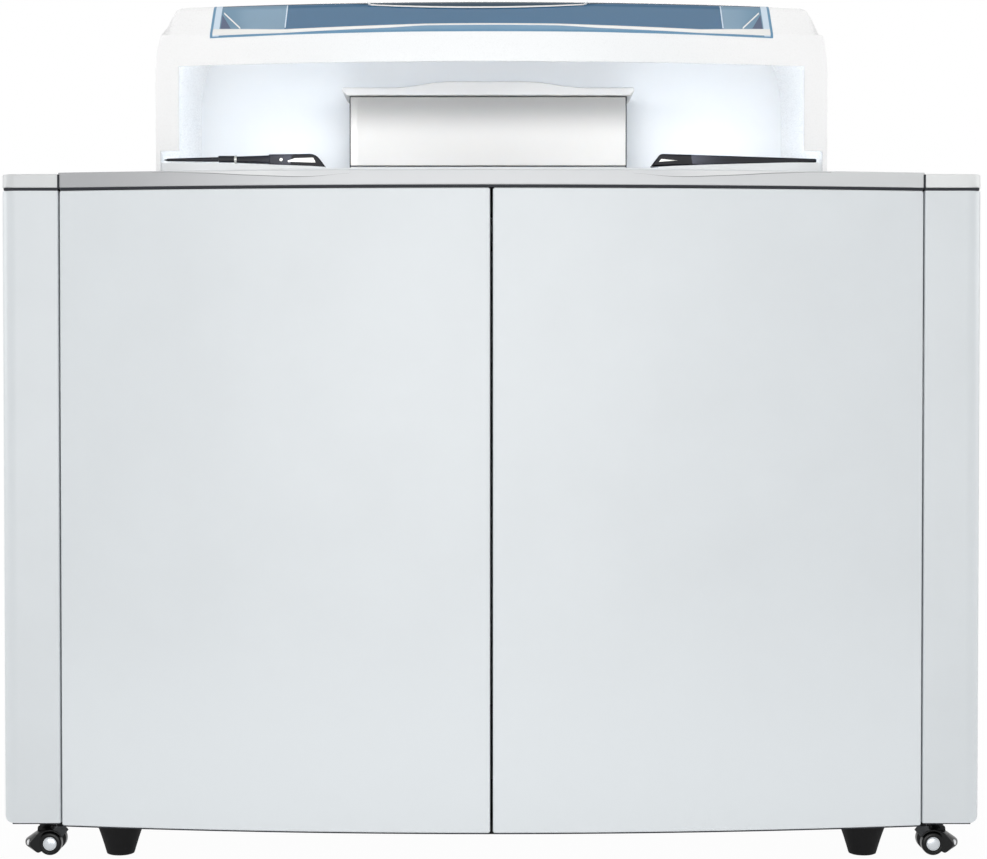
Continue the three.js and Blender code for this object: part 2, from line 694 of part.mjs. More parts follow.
function rearPanel() {
  const reach = PANEL_INNER - TOUCH_GAP;
  const panel = block([-reach, FRAME_BACK, BODY_BOTTOM], [reach, REAR_FACE, BODY_TOP]);
  const louvres = Array.from({ length: LOUVRE_COUNT }, (_, i) => {
    const low = FAN_PLACE_Z + i * LOUVRE_PITCH - (LOUVRE_COUNT * LOUVRE_PITCH) / 2;
    return block(
      [-FAN_PLACE_X - LOUVRE_LENGTH / 2, FRAME_BACK - OVERRUN, low],
      [-FAN_PLACE_X + LOUVRE_LENGTH / 2, REAR_FACE + OVERRUN, low + LOUVRE_HEIGHT],
    );
  });
  const [low, high] = [FRAME_BACK - OVERRUN, REAR_FACE + OVERRUN];
  const fanHole = disc(FAN_BORE, low, high, FINE_SIDES, [FAN_PLACE_X, 0, FAN_PLACE_Z], 'y');
  const [halfWidth, halfHeight] = [INLET_HALF_WIDTH + TOUCH_GAP, INLET_HALF_HEIGHT + TOUCH_GAP];
  const inletHole = block(
    [INLET_PLACE_X - halfWidth, low, INLET_PLACE_Z - halfHeight],
    [INLET_PLACE_X + halfWidth, high, INLET_PLACE_Z + halfHeight],
  );
  return cut(panel, ...louvres, fanHole, inletHole);
}

sides.forEach(([name, side]) => place(`${name}_side_panel`, sideOf(sidePanel(), side), doorWhite));
place('rear_panel', rearPanel(), doorWhite);

// Doors: bowed pans, round at the pivot edge, open at the back

const PIVOT_X = DOOR_EDGE - DOOR_NOSE;
const pivotSlope = Math.asin(PIVOT_X / (BOW_RADIUS - DOOR_NOSE));
const PIVOT_Y = BOW_RADIUS - HALF_DEPTH - (BOW_RADIUS - DOOR_NOSE) * Math.cos(pivotSlope);

function door() {
  const inner = DOOR_CENTRE_GAP / 2;
  const outline = [
    ...bowLine(inner, PIVOT_X, 0, BOW_STEPS / 2).slice(0, -1),
    ...arcPoints([PIVOT_X, PIVOT_Y], DOOR_NOSE, pivotSlope - Math.PI / 2, 0, CORNER_STEPS),
    ...bowLine(inner, DOOR_EDGE, DOOR_THICK, BOW_STEPS / 2).reverse(),
  ];
  const leaf = raised(outline, DOOR_BOTTOM, DOOR_TOP);
  const [left, right] = [inner + DOOR_SKIN, DOOR_EDGE - DOOR_STILE];
  const hollow = raised([
    ...bowLine(left, right, DOOR_SKIN, BOW_STEPS / 2),
    ...bowLine(left, right, DOOR_THICK + OVERRUN, BOW_STEPS / 2).reverse(),
  ], DOOR_BOTTOM + DOOR_SKIN, DOOR_TOP - DOOR_SKIN);
  const bore = boreFor(PIVOT_RADIUS, SMALL_SIDES);
  const reach = PIVOT_REACH + SEAM;
  const bores = [
    disc(bore, DOOR_TOP - reach, DOOR_TOP + OVERRUN, SMALL_SIDES, [PIVOT_X, PIVOT_Y, 0]),
    disc(bore, DOOR_BOTTOM - OVERRUN, DOOR_BOTTOM + reach, SMALL_SIDES, [PIVOT_X, PIVOT_Y, 0]),
  ];
  return cut(leaf, hollow, ...bores);
}

function upperPivot() {
  const plate = block(
    [PIVOT_X - PIVOT_PLATE_HALF, PIVOT_Y - DOOR_NOSE / 2, WORKTOP_BOTTOM - PIVOT_PLATE_THICK],
    [PIVOT_X + DOOR_NOSE, FRAME_FRONT - TOUCH_GAP, WORKTOP_BOTTOM],
  );
  const low = DOOR_TOP - PIVOT_REACH;
  return joined(plate, disc(PIVOT_RADIUS, low, WORKTOP_BOTTOM, SMALL_SIDES, [PIVOT_X, PIVOT_Y, 0]));
}

function lowerPivot() {
  const top = DOOR_BOTTOM - TOUCH_GAP;
  const low = top - PIVOT_PLATE_THICK;
  const riserFront = PIVOT_Y + PIVOT_RISER_SETBACK;
  const riserBack = riserFront + PIVOT_PLATE_HALF * 2;
  const [left, right] = [PIVOT_X - PIVOT_PLATE_HALF, PIVOT_X + DOOR_NOSE];
  const plate = block([left, PIVOT_Y - DOOR_NOSE / 2, low], [right, riserBack, top]);
  const riser = block([left, riserFront, low], [right, riserBack, BASE_BOTTOM]);
  const pin = disc(PIVOT_RADIUS, low, DOOR_BOTTOM + PIVOT_REACH, SMALL_SIDES, [PIVOT_X, PIVOT_Y, 0]);
  return joined(plate, riser, pin);
}

function doorCatch() {
  const front = bowFront(0, DOOR_THICK) + CATCH_AIR + (bowFront(CATCH_HALF_WIDTH) - bowFront(0));
  const high = BODY_TOP - CATCH_DROP;
  return block([-CATCH_HALF_WIDTH, front, high - CATCH_HEIGHT], [CATCH_HALF_WIDTH, FRAME_FRONT, high]);
}

sides.forEach(([name, side]) => {
  place(`${name}_door`, sideOf(door(), side), doorWhite);
  place(`${name}_door_upper_pivot`, sideOf(upperPivot(), side), brightSteel);
  place(`${name}_door_lower_pivot`, sideOf(lowerPivot(), side), brightSteel);
});
place('door_catch', doorCatch(), blackPlastic);

// Worktop with its end caps

const TUB_HOLES = [
  [-DISK_PLACE_X, DISK_PLACE_Y, TUB_RADIUS],
  [DISK_PLACE_X, DISK_PLACE_Y, TUB_RADIUS],
  [0, BATH_PLACE_Y, BATH_RADIUS],
];
const NEEDLE_X = ARM_PLACE_X + ARM_TIP - NEEDLE_FROM_TIP;

function columnHoles(low, high) {
  const radius = boreFor(COLUMN_RADIUS, ROUND_SIDES);
  return [-1, 1].map((side) => disc(radius, low, high, ROUND_SIDES, [side * ARM_PLACE_X, ARM_PLACE_Y, 0]));
}

function washPorts(low, high) {
  return [-1, 1].map((side) => disc(PORT_RADIUS, low, high, SMALL_SIDES, [side * NEEDLE_X, ARM_PLACE_Y, 0]));
}

function worktop() {
  const reach = PILLAR_INNER - TOUCH_GAP;
  const outline = [...bowLine(-reach, reach, 0, BOW_STEPS), [reach, HALF_DEPTH], [-reach, HALF_DEPTH]];
  const slab = raised(outline, WORKTOP_BOTTOM, WORK_HEIGHT);
  const [low, high] = [WORKTOP_BOTTOM - OVERRUN, WORK_HEIGHT + OVERRUN];
  const wells = TUB_HOLES.map(([x, y, radius]) => disc(radius + TOUCH_GAP, low, high, FINE_SIDES, [x, y, 0]));
  const ports = washPorts(DECK_TOP - PORT_DEPTH, high);
  return cut(slab, ...wells, ...columnHoles(low, high), ...ports);
}

function worktopCap() {
  const outline = [
    [PILLAR_INNER, HALF_DEPTH],
    [PILLAR_INNER, PILLAR_FRONT],
    ...arcPoints([HALF_WIDTH - PILLAR_CORNER, PILLAR_FRONT + PILLAR_CORNER], PILLAR_CORNER,
      -Math.PI / 2, 0, CORNER_STEPS),
    [HALF_WIDTH, HALF_DEPTH],
  ];
  return raised(outline, WORKTOP_BOTTOM, WORK_HEIGHT - CAP_DROP);
}

place('worktop', worktop(), worktopGrey);
sides.forEach(([name, side]) => place(`worktop_${name}_cap`, sideOf(worktopCap(), side), capGrey));

// Hood surfaces

function hoodFront(x, inset = 0) {
  return HOOD_FRONT + HOOD_RADIUS - Math.sqrt((HOOD_RADIUS - inset) ** 2 - x * x);
}

// Highest point of the hood at x, falling over the round shoulder to the side wall.
function shoulder(x, inset = 0) {
  const [width, rise] = [SHOULDER_WIDTH - inset, ROOF_REAR - SHOULDER_START - inset];
  const over = Math.abs(x) - (HOOD_HALF_WIDTH - SHOULDER_WIDTH);
  const share = Math.min(Math.max(over / width, 0), 1);
  return SHOULDER_START + rise * Math.sqrt(1 - share * share);
}

function hoodStations(inset) {
  const half = HOOD_HALF_WIDTH - inset;
  const flat = HOOD_HALF_WIDTH - SHOULDER_WIDTH;
  const turns = spread(0, Math.PI / 2, SHOULDER_STEPS).slice(1);
  const right = turns.map((angle) => flat + (half - flat) * Math.sin(angle));
  return [...right.map((x) => -x).reverse(), ...spread(-flat, flat, BOW_STEPS), ...right];
}

// The hood's outer form, or the room inside it when inset, down to a given height.
function hoodForm(inset, bottom) {
  const slant = inset * Math.tan(Math.atan2(ROOF_FRONT - RAIL_TOP, VISOR_RUN) / 2);
  const sectionAt = (x) => {
    const [front, top, rear] = [hoodFront(x, inset), shoulder(x, inset), HOOD_REAR - inset];
    return [
      [front, bottom],
      [rear, bottom],
      [rear, Math.min(ROOF_REAR - inset, top)],
      [front + VISOR_RUN, Math.min(ROOF_FRONT - inset, top)],
      [front, Math.min(RAIL_TOP - slant, top)],
    ];
  };
  return lofted(hoodStations(inset), sectionAt);
}

function hoodOuter() {
  const behind = block(
    [-HALF_WIDTH, CONSOLE_FRONT - TOUCH_GAP, WORK_HEIGHT - OVERRUN],
    [HALF_WIDTH, HALF_DEPTH, CONSOLE_TOP + SKIRT_AIR],
  );
  return cut(hoodForm(0, WORK_HEIGHT + TOUCH_GAP), behind);
}

function hoodInner(inset) {
  return hoodForm(inset, WORK_HEIGHT - OVERRUN);
}

// Everything within the window's plan outline, above the sill, grown or shrunk by a margin.
function windowBlock(margin) {
  const half = WINDOW_HALF_WIDTH + margin;
  return block(
    [-half, HOOD_FRONT - OVERRUN, RAIL_TOP + WINDOW_SILL - margin],
    [half, WINDOW_BACK + margin, ROOF_REAR + OVERRUN],
  );
}

// The arch, wider at its foot where the tips of the parked probe arms show past the jambs.
function archCutter() {
  const [half, low] = [HOOD_HALF_WIDTH - JAMB_WIDTH, WORK_HEIGHT - OVERRUN];
  const [notchHalf, notchTop] = [ARM_PLACE_X + ARM_TIP + TIP_NOTCH_AIR, ARM_TIP_HIGH + TIP_NOTCH_HEADROOM];
  const right = [
    [notchHalf, low],
    [notchHalf, notchTop],
    [half, notchTop],
    [half, RAIL_BOTTOM - GUSSET],
    [half - GUSSET, RAIL_BOTTOM],
  ];
  const outline = [...right, ...right.map(([x, z]) => [-x, z]).reverse()];
  return runBack(outline, HOOD_FRONT - OVERRUN, ARM_PLACE_Y - ARM_HALF_WIDTH);
}

const HOOD_SOLID = hoodOuter();
const HOOD_ROOM = hoodInner(HOOD_WALL);

function hoodShell() {
  const wall = cut(HOOD_SOLID, HOOD_ROOM, windowBlock(0), archCutter());
  const rim = cut(hoodInner(HOOD_WALL / 2), hoodInner(HOOD_WALL + LEDGE_THICK));
  const seam = cut(windowBlock(WINDOW_LEDGE), windowBlock(0)).intersect(rim);
  const shelf = cut(hoodInner(HOOD_WALL + TOUCH_GAP), hoodInner(HOOD_WALL + LEDGE_THICK));
  const ledge = cut(windowBlock(WINDOW_LEDGE), windowBlock(-WINDOW_LEDGE)).intersect(shelf);
  return joined(wall, seam, ledge);
}

function hoodWindow() {
  return cut(HOOD_SOLID, HOOD_ROOM).intersect(windowBlock(-TOUCH_GAP));
}

place('hood_shell', hoodShell(), hoodWhite);
place('hood_window', hoodWindow(), tintedBlue);

// Deck plate inside the hood

function deckPlate() {
  const half = HOOD_HALF_WIDTH - HOOD_WALL - DECK_MARGIN;
  const inset = HOOD_WALL + DECK_MARGIN;
  const front = spread(-half, half, BOW_STEPS).map((x) => [x, hoodFront(x, inset)]);
  const plate = raised([...front, [half, CONSOLE_FRONT], [-half, CONSOLE_FRONT]], WORK_HEIGHT, DECK_TOP);
  const [low, high] = [WORK_HEIGHT - OVERRUN, DECK_TOP + OVERRUN];
  const wells = TUB_HOLES.map(([x, y, radius]) => {
    return disc(radius + TUB_FLANGE + TOUCH_GAP, low, high, FINE_SIDES, [x, y, 0]);
  });
  return cut(plate, ...wells, ...columnHoles(low, high), ...washPorts(low, high));
}

place('deck_plate', deckPlate(), deckWhite);

// Rear console: a casing open below, with the hood's shoulders

function consoleLine(inset) {
  const half = HOOD_HALF_WIDTH - inset;
  const flat = HOOD_HALF_WIDTH - SHOULDER_WIDTH;
  const steps = spread(Math.PI / 2, 0, SHOULDER_STEPS);
  const xs = steps.map((angle) => flat + (half - flat) * Math.sin(angle));
  const right = xs.map((x) => [x, Math.min(shoulder(x, inset), CONSOLE_TOP - inset)]);
  const bottom = inset > 0 ? WORK_HEIGHT - OVERRUN : WORK_HEIGHT;
  return [[-half, bottom], [half, bottom], ...right, ...right.map(([x, z]) => [-x, z]).reverse()];
}

function rearConsole() {
  const back = HALF_DEPTH - CONSOLE_REAR_INSET;
  const outer = runBack(consoleLine(0), CONSOLE_FRONT, back);
  const room = runBack(consoleLine(CONSOLE_WALL), CONSOLE_FRONT + CONSOLE_WALL, back - CONSOLE_WALL);
  const louvres = Array.from({ length: LOUVRE_COUNT }, (_, i) => {
    const low = DECK_TOP + (i + 1) * LOUVRE_PITCH;
    return block([-LOUVRE_LENGTH, back - CONSOLE_WALL - OVERRUN, low],
      [LOUVRE_LENGTH, back + OVERRUN, low + LOUVRE_HEIGHT]);
  });
  return cut(outer, room, ...louvres);
}

place('rear_console', rearConsole(), deckWhite);

// Grey wash station and its lid

function stationHousing() {
  const top = DECK_TOP + STATION_HEIGHT;
  const half = STATION_HALF_WIDTH;
  const outer = block([-half, STATION_FRONT, DECK_TOP], [half, CONSOLE_FRONT, top]);
  const inner = half - STATION_WALL;
  const room = block(
    [-inner, STATION_FRONT + STATION_WALL, DECK_TOP - OVERRUN],
    [inner, CONSOLE_FRONT - STATION_WALL, top - STATION_WALL],
  );
  return cut(outer, room);
}

function stationLid() {
  const low = DECK_TOP + STATION_HEIGHT;
  const edge = low + STATION_LID_EDGE;
  const half = STATION_HALF_WIDTH + STATION_LID_SIDE;
  const rise = (x) => {
    const share = Math.min(Math.max((CREST_END - x) / (CREST_END - CREST_FLAT), 0), 1);
    return STATION_LID_CREST * (1 - Math.cos(Math.PI * share)) / 2;
  };
  const crest = spread(CREST_END, CREST_FLAT, CREST_STEPS).map((x) => [x, edge + rise(x)]);
  const outline = [
    [LID_CORNICE - half, low],
    [half - LID_CORNICE, low],
    [half, low + LID_CORNICE],
    [half, edge - LID_CORNICE / 2],
    [half - LID_CORNICE / 2, edge],
    ...crest,
    ...crest.map(([x, z]) => [-x, z]).reverse(),
    [LID_CORNICE / 2 - half, edge],
    [-half, edge - LID_CORNICE / 2],
    [-half, low + LID_CORNICE],
  ];
  return runBack(outline, STATION_FRONT - STATION_LID_FRONT, CONSOLE_FRONT);
}

place('wash_station_housing', stationHousing(), stationGrey);
place('wash_station_lid', stationLid(), deckWhite);

// Tubs in the worktop and the turning disks in them

function tub(radius) {
  const [low, inner] = [WORK_HEIGHT - TUB_DEPTH, radius - TUB_WALL];
  const floor = low + TUB_WALL;
  const rimTop = WORK_HEIGHT + TUB_FLANGE_THICK;
  return [
    [0, low],
    [radius, low],
    [radius, WORK_HEIGHT],
    [radius + TUB_FLANGE, WORK_HEIGHT],
    [radius + TUB_FLANGE, rimTop],
    [inner, rimTop],
    [inner, floor],
    [TUB_POST_RADIUS, floor],
    [TUB_POST_RADIUS, floor + TUB_POST_HEIGHT],
    [0, floor + TUB_POST_HEIGHT],
  ];
}

function diskBlank(radius) {
  const floor = WORK_HEIGHT - TUB_DEPTH + TUB_WALL;
  const bore = boreFor(TUB_POST_RADIUS, FINE_SIDES);
  const hub = bore + DISK_HUB_WALL;
  const high = WORK_HEIGHT - DISK_TOP_DROP;
  const rim = radius - TUB_WALL - DISK_RIM_GAP;
  return [
    [0, floor + TUB_POST_HEIGHT + HUB_ROOF_GAP],
    [bore, floor + TUB_POST_HEIGHT + HUB_ROOF_GAP],
    [bore, floor + TOUCH_GAP],
    [hub, floor + TOUCH_GAP],
    [hub, high - DISK_THICK],
    [rim, high - DISK_THICK],
    [rim, high],
    [DISK_KNOB_RADIUS, high],
    [DISK_KNOB_RADIUS, high + DISK_KNOB_HEIGHT],
    [0, high + DISK_KNOB_HEIGHT],
  ];
}

function ringOf(count, radius, make) {
  return Array.from({ length: count }, (_, i) => {
    const angle = (2 * Math.PI * i) / count;
    return make(radius * Math.cos(angle), radius * Math.sin(angle), angle);
  });
}

function sampleDisk() {
  const high = WORK_HEIGHT - DISK_TOP_DROP;
  const rim = TUB_RADIUS - TUB_WALL - DISK_RIM_GAP;
  const bore = (x, y) => disc(TUBE_BORE, high - TUBE_BORE_DEPTH, high + OVERRUN, BORE_SIDES, [x, y, 0]);
  const bores = [
    ...ringOf(OUTER_TUBES, rim - OUTER_TUBE_INSET, bore),
    ...ringOf(INNER_TUBES, rim - INNER_TUBE_INSET, bore),
  ];
  return cut(turned(diskBlank(TUB_RADIUS), FINE_SIDES), ...bores);
}

function reagentDisk() {
  const high = WORK_HEIGHT - DISK_TOP_DROP;
  const outer = TUB_RADIUS - TUB_WALL - DISK_RIM_GAP - BOTTLE_RIM_INSET;
  const inner = outer - BOTTLE_LENGTH;
  const half = (Math.PI / BOTTLE_COUNT) * BOTTLE_FILL_SHARE;
  const bottles = ringOf(BOTTLE_COUNT, outer - BOTTLE_LENGTH / 2, (x, y, angle) => {
    const corner = (radius, turn) => [radius * Math.cos(angle + turn), radius * Math.sin(angle + turn)];
    const outline = [corner(inner, -half), corner(outer, -half), corner(outer, half), corner(inner, half)];
    const wedge = raised(outline, high - DISK_THICK / 2, high + BOTTLE_RISE);
    const capTop = high + BOTTLE_RISE + BOTTLE_CAP_HEIGHT;
    return joined(wedge, disc(BOTTLE_CAP_RADIUS, high, capTop, BORE_SIDES, [x, y, 0]));
  });
  return joined(turned(diskBlank(TUB_RADIUS), FINE_SIDES), ...bottles);
}

function cuvetteCarousel() {
  const high = WORK_HEIGHT - DISK_TOP_DROP;
  const rim = BATH_RADIUS - TUB_WALL - DISK_RIM_GAP;
  const half = (Math.PI / CUVETTE_COUNT) * CUVETTE_FILL_SHARE;
  const slots = ringOf(CUVETTE_COUNT, rim, (x, y, angle) => {
    const corner = (radius, turn) => [radius * Math.cos(angle + turn), radius * Math.sin(angle + turn)];
    const [inner, outer] = [rim - CUVETTE_DEPTH, rim + OVERRUN];
    const outline = [corner(inner, -half), corner(outer, -half), corner(outer, half), corner(inner, half)];
    return raised(outline, high - DISK_THICK - OVERRUN, high + OVERRUN);
  });
  return cut(turned(diskBlank(BATH_RADIUS), FINE_SIDES), ...slots);
}

const rotors = [
  ['sample_tub', 'sample_disk', -DISK_PLACE_X, DISK_PLACE_Y, TUB_RADIUS, sampleDisk],
  ['reagent_tub', 'reagent_disk', DISK_PLACE_X, DISK_PLACE_Y, TUB_RADIUS, reagentDisk],
  ['cuvette_bath', 'cuvette_carousel', 0, BATH_PLACE_Y, BATH_RADIUS, cuvetteCarousel],
];
rotors.forEach(([tubName, diskName, x, y, radius, makeDisk]) => {
  place(tubName, turned(tub(radius), FINE_SIDES, [x, y, 0]), frameSteel);
  place(diskName, makeDisk().translate([x, y, 0]), tankPlastic);
});

// Probe arms: a lifting column, a swinging arm parked outwards, and a needle at its tip

function armPlan() {
  const half = ARM_HALF_WIDTH;
  const nose = arcPoints([ARM_TAIL - half, 0], half, -Math.PI / 2, Math.PI / 2, CORNER_STEPS);
  return [
    ...nose,
    [-ARM_BLOCK_END, half],
    [-ARM_TIP, ARM_TIP_HALF_WIDTH],
    [-ARM_TIP, -ARM_TIP_HALF_WIDTH],
    [-ARM_BLOCK_END, -half],
  ];
}

// Seen from the front, the pivot at 0 and the tip towards -X.
function sampleArmFace() {
  return [
    [ARM_TAIL, ARM_BOTTOM],
    [ARM_TAIL - ARM_TAIL_SLOPE, ARM_TOP],
    [-ARM_BLOCK_END, ARM_TOP],
    [-ARM_BLOCK_END, ARM_TUBE_HIGH],
    [-ARM_TUBE_END, ARM_COLLAR_HIGH],
    [-ARM_COLLAR_END, ARM_COLLAR_HIGH],
    [-ARM_COLLAR_END, ARM_COLLAR_HIGH - ARM_STEP],
    [-ARM_TIP, ARM_TIP_HIGH],
    [-ARM_TIP, ARM_TIP_LOW],
    [-ARM_COLLAR_END, ARM_COLLAR_LOW + ARM_STEP],
    [-ARM_COLLAR_END, ARM_COLLAR_LOW],
    [-ARM_TUBE_END, ARM_COLLAR_LOW],
    [-ARM_BLOCK_END, ARM_TUBE_LOW],
    [-ARM_BLOCK_END, ARM_TUBE_LOW - ARM_STEP],
    [-ARM_TAIL, ARM_BOTTOM],
  ];
}

function reagentArmFace() {
  return [
    [ARM_TAIL, ARM_BOTTOM],
    [ARM_TAIL - ARM_TAIL_SLOPE, ARM_TOP],
    [-ARM_TAIL, ARM_TOP],
    [-ARM_TIP, ARM_TIP_HIGH],
    [-ARM_TIP, ARM_TIP_LOW],
    [-ARM_BLOCK_END, ARM_TUBE_LOW - ARM_STEP],
    [-ARM_TAIL, ARM_BOTTOM],
  ];
}

function probeArm(face) {
  const solid = runBack(face, -ARM_HALF_WIDTH - OVERRUN, ARM_HALF_WIDTH + OVERRUN);
  const plan = raised(armPlan(), ARM_BOTTOM - OVERRUN, ARM_TOP + OVERRUN);
  const bore = disc(
    boreFor(COLUMN_STUB_RADIUS, SMALL_SIDES), ARM_BOTTOM - OVERRUN,
    ARM_BOTTOM + COLUMN_STUB_HEIGHT + TOUCH_GAP, SMALL_SIDES,
  );
  const needleBore = disc(
    boreFor(NEEDLE_RADIUS, BORE_SIDES), ARM_TIP_LOW - OVERRUN, ARM_TIP_LOW + ARM_STEP, BORE_SIDES,
    [NEEDLE_FROM_TIP - ARM_TIP, 0, 0],
  );
  return cut(solid.intersect(plan), bore, needleBore);
}

function armColumn() {
  const low = ARM_BOTTOM - COLUMN_LENGTH;
  const shaft = disc(COLUMN_RADIUS, low, ARM_BOTTOM - TOUCH_GAP, ROUND_SIDES);
  return joined(shaft, disc(COLUMN_STUB_RADIUS, low, ARM_BOTTOM + COLUMN_STUB_HEIGHT, SMALL_SIDES));
}

function needle() {
  const high = ARM_TIP_LOW + ARM_STEP - TOUCH_GAP;
  return disc(NEEDLE_RADIUS, NEEDLE_BOTTOM, high, BORE_SIDES, [NEEDLE_FROM_TIP - ARM_TIP, 0, 0]);
}

const arms = [['sample', -1, sampleArmFace], ['reagent', 1, reagentArmFace]];
arms.forEach(([name, side, face]) => {
  const put = (body) => sideOf(body, -side).translate([side * ARM_PLACE_X, ARM_PLACE_Y, 0]);
  place(`${name}_arm_column`, put(armColumn()), brightSteel);
  place(`${name}_probe_arm`, put(probeArm(face())), armBlack);
  place(`${name}_needle`, put(needle()), brightSteel);
});

// Hood hinges on the console's top

function hingeBase() {
  const top = CONSOLE_TOP + HINGE_PLATE_THICK;
  const plate = block(
    [-HINGE_HALF, HINGE_AXIS_Y - HINGE_PLATE_FRONT, CONSOLE_TOP],
    [HINGE_HALF, HINGE_AXIS_Y + HINGE_PLATE_BACK, top],
  );
  const centre = [0, HINGE_AXIS_Y, HINGE_AXIS_Z];
  const knuckles = [
    disc(KNUCKLE_RADIUS, -HINGE_HALF, -KNUCKLE_HALF, ROUND_SIDES, centre, 'x'),
    disc(KNUCKLE_RADIUS, KNUCKLE_HALF, HINGE_HALF, ROUND_SIDES, centre, 'x'),
  ];
  const webs = [[-HINGE_HALF, -KNUCKLE_HALF], [KNUCKLE_HALF, HINGE_HALF]].map(([left, right]) => {
    return block(
      [left, HINGE_AXIS_Y - KNUCKLE_RADIUS / 2, CONSOLE_TOP],
      [right, HINGE_AXIS_Y + KNUCKLE_RADIUS / 2, HINGE_AXIS_Z],
    );
  });
  const pin = disc(HINGE_PIN_RADIUS, -HINGE_HALF, HINGE_HALF, SMALL_SIDES, centre, 'x');
  return joined(plate, ...knuckles, ...webs, pin);
}

function hingeLeaf() {
  const half = KNUCKLE_HALF - RUNNING_GAP;
  const centre = [0, HINGE_AXIS_Y, HINGE_AXIS_Z];
  const knuckle = disc(KNUCKLE_RADIUS, -half, half, ROUND_SIDES, centre, 'x');
  const front = HOOD_REAR + TOUCH_GAP;
  const arm = block(
    [-half, front, HINGE_AXIS_Z - LEAF_ARM_HALF],
    [half, HINGE_AXIS_Y, HINGE_AXIS_Z + LEAF_ARM_HALF],
  );
  const leaf = block(
    [-HINGE_HALF, front, HINGE_AXIS_Z - LEAF_DOWN],
    [HINGE_HALF, front + LEAF_THICK, HINGE_AXIS_Z + LEAF_UP],
  );
  const boreRadius = boreFor(HINGE_PIN_RADIUS, SMALL_SIDES);
  const bore = disc(boreRadius, -HINGE_HALF, HINGE_HALF, SMALL_SIDES, centre, 'x');
  return cut(joined(knuckle, arm, leaf), bore);
}

sides.forEach(([name, side]) => {
  const put = (body) => body.translate([side * HINGE_PLACE, 0, 0]);
  place(`hood_hinge_${name}_base`, put(hingeBase()), brightSteel);
  place(`hood_hinge_${name}_leaf`, put(hingeLeaf()), brightSteel);
});

// Castors: a fork housing with a nosed cover that swivels, and a twin wheel on its axle

const AXLE_HEIGHT = CASTOR_AIR + WHEEL_RADIUS;

// The cover over the wheels: an arc band that runs out into a rounded nose ahead of the stem.
function castorCover(axle) {
  const [room, hub] = [WHEEL_RADIUS + CASTOR_COVER_AIR, [CASTOR_TRAIL, AXLE_HEIGHT]];
  const turns = [CASTOR_COVER_BACK_TURN, CASTOR_COVER_NOSE_TURN, CASTOR_COVER_FOOT_TURN];
  const [backTurn, noseTurn, footTurn] = turns.map(THREE.MathUtils.degToRad);
  const crown = arcPoints(hub, room + CASTOR_COVER_WALL, backTurn, noseTurn, CASTOR_COVER_STEPS);
  const [tip, slope] = [-CASTOR_NOSE_REACH, CASTOR_NOSE_SLOPE];
  const [noseTop, noseLow] = [AXLE_HEIGHT + CASTOR_NOSE_HEIGHT / 2, AXLE_HEIGHT - CASTOR_NOSE_HEIGHT / 2];
  const nose = [[tip + slope, noseTop + slope / 2], [tip, noseTop - slope / 2], [tip + slope / 2, noseLow]];
  const [foot] = arcPoints(hub, room, footTurn, footTurn, 1);
  const form = runAcross([...crown, ...nose, foot], -CASTOR_COVER_HALF, CASTOR_COVER_HALF);
  const wheelRoom = disc(room, -CASTOR_COVER_SWEEP, CASTOR_COVER_SWEEP, ROUND_SIDES, axle, 'x');
  const sweep = disc(CASTOR_COVER_SWEEP, 0, BASE_BOTTOM, ROUND_SIDES);
  return cut(form, wheelRoom).intersect(sweep);
}

function castorFork() {
  const axle = [0, CASTOR_TRAIL, AXLE_HEIGHT];
  const boss = disc(CASTOR_HOOD_RADIUS, -CASTOR_BODY_HALF, CASTOR_BODY_HALF, ROUND_SIDES, axle, 'x');
  const neckLow = AXLE_HEIGHT + CASTOR_HOOD_RADIUS / 2;
  const web = block(
    [-CASTOR_BODY_HALF, -CASTOR_NECK_RADIUS, AXLE_HEIGHT],
    [CASTOR_BODY_HALF, CASTOR_TRAIL + CASTOR_HOOD_RADIUS / 2, neckLow + WHEEL_RADIUS],
  );
  const wheelTop = AXLE_HEIGHT + WHEEL_RADIUS;
  const neck = disc(CASTOR_NECK_RADIUS, wheelTop + SEAM, BASE_BOTTOM - TOUCH_GAP, ROUND_SIDES);
  const stem = disc(CASTOR_STEM_RADIUS, wheelTop, BASE_BOTTOM + CASTOR_STEM_LENGTH, SMALL_SIDES);
  const bore = disc(boreFor(AXLE_RADIUS, SMALL_SIDES), -WHEEL_WIDTH, WHEEL_WIDTH, SMALL_SIDES, axle, 'x');
  return cut(joined(boss, web, neck, stem, castorCover(axle)), bore);
}

function castorWheel() {
  const [inner, outer, edge] = [WHEEL_SPACE / 2, WHEEL_SPACE / 2 + WHEEL_WIDTH, WHEEL_ROUND];
  const wheel = [
    [AXLE_RADIUS, inner],
    [WHEEL_RADIUS - edge, inner],
    [WHEEL_RADIUS, inner + edge],
    [WHEEL_RADIUS, outer - edge],
    [WHEEL_RADIUS - edge, outer],
    [0, outer],
  ];
  const mirrored = wheel.map(([radius, height]) => [radius, -height]).reverse();
  return turned([...mirrored, ...wheel], ROUND_SIDES, [0, CASTOR_TRAIL, AXLE_HEIGHT], 'x');
}

// Levelling feet: a tapered rubber block on a threaded stud

function levellingFoot() {
  return turned([
    [0, 0],
    [FOOT_BOTTOM_RADIUS - FOOT_EDGE, 0],
    [FOOT_BOTTOM_RADIUS, FOOT_EDGE],
    [FOOT_TOP_RADIUS, FOOT_HEIGHT - FOOT_EDGE],
    [FOOT_TOP_RADIUS, FOOT_HEIGHT],
    [STUD_RADIUS, FOOT_HEIGHT],
    [STUD_RADIUS, FOOT_HEIGHT + STUD_LENGTH],
    [0, FOOT_HEIGHT + STUD_LENGTH],
  ], ROUND_SIDES);
}

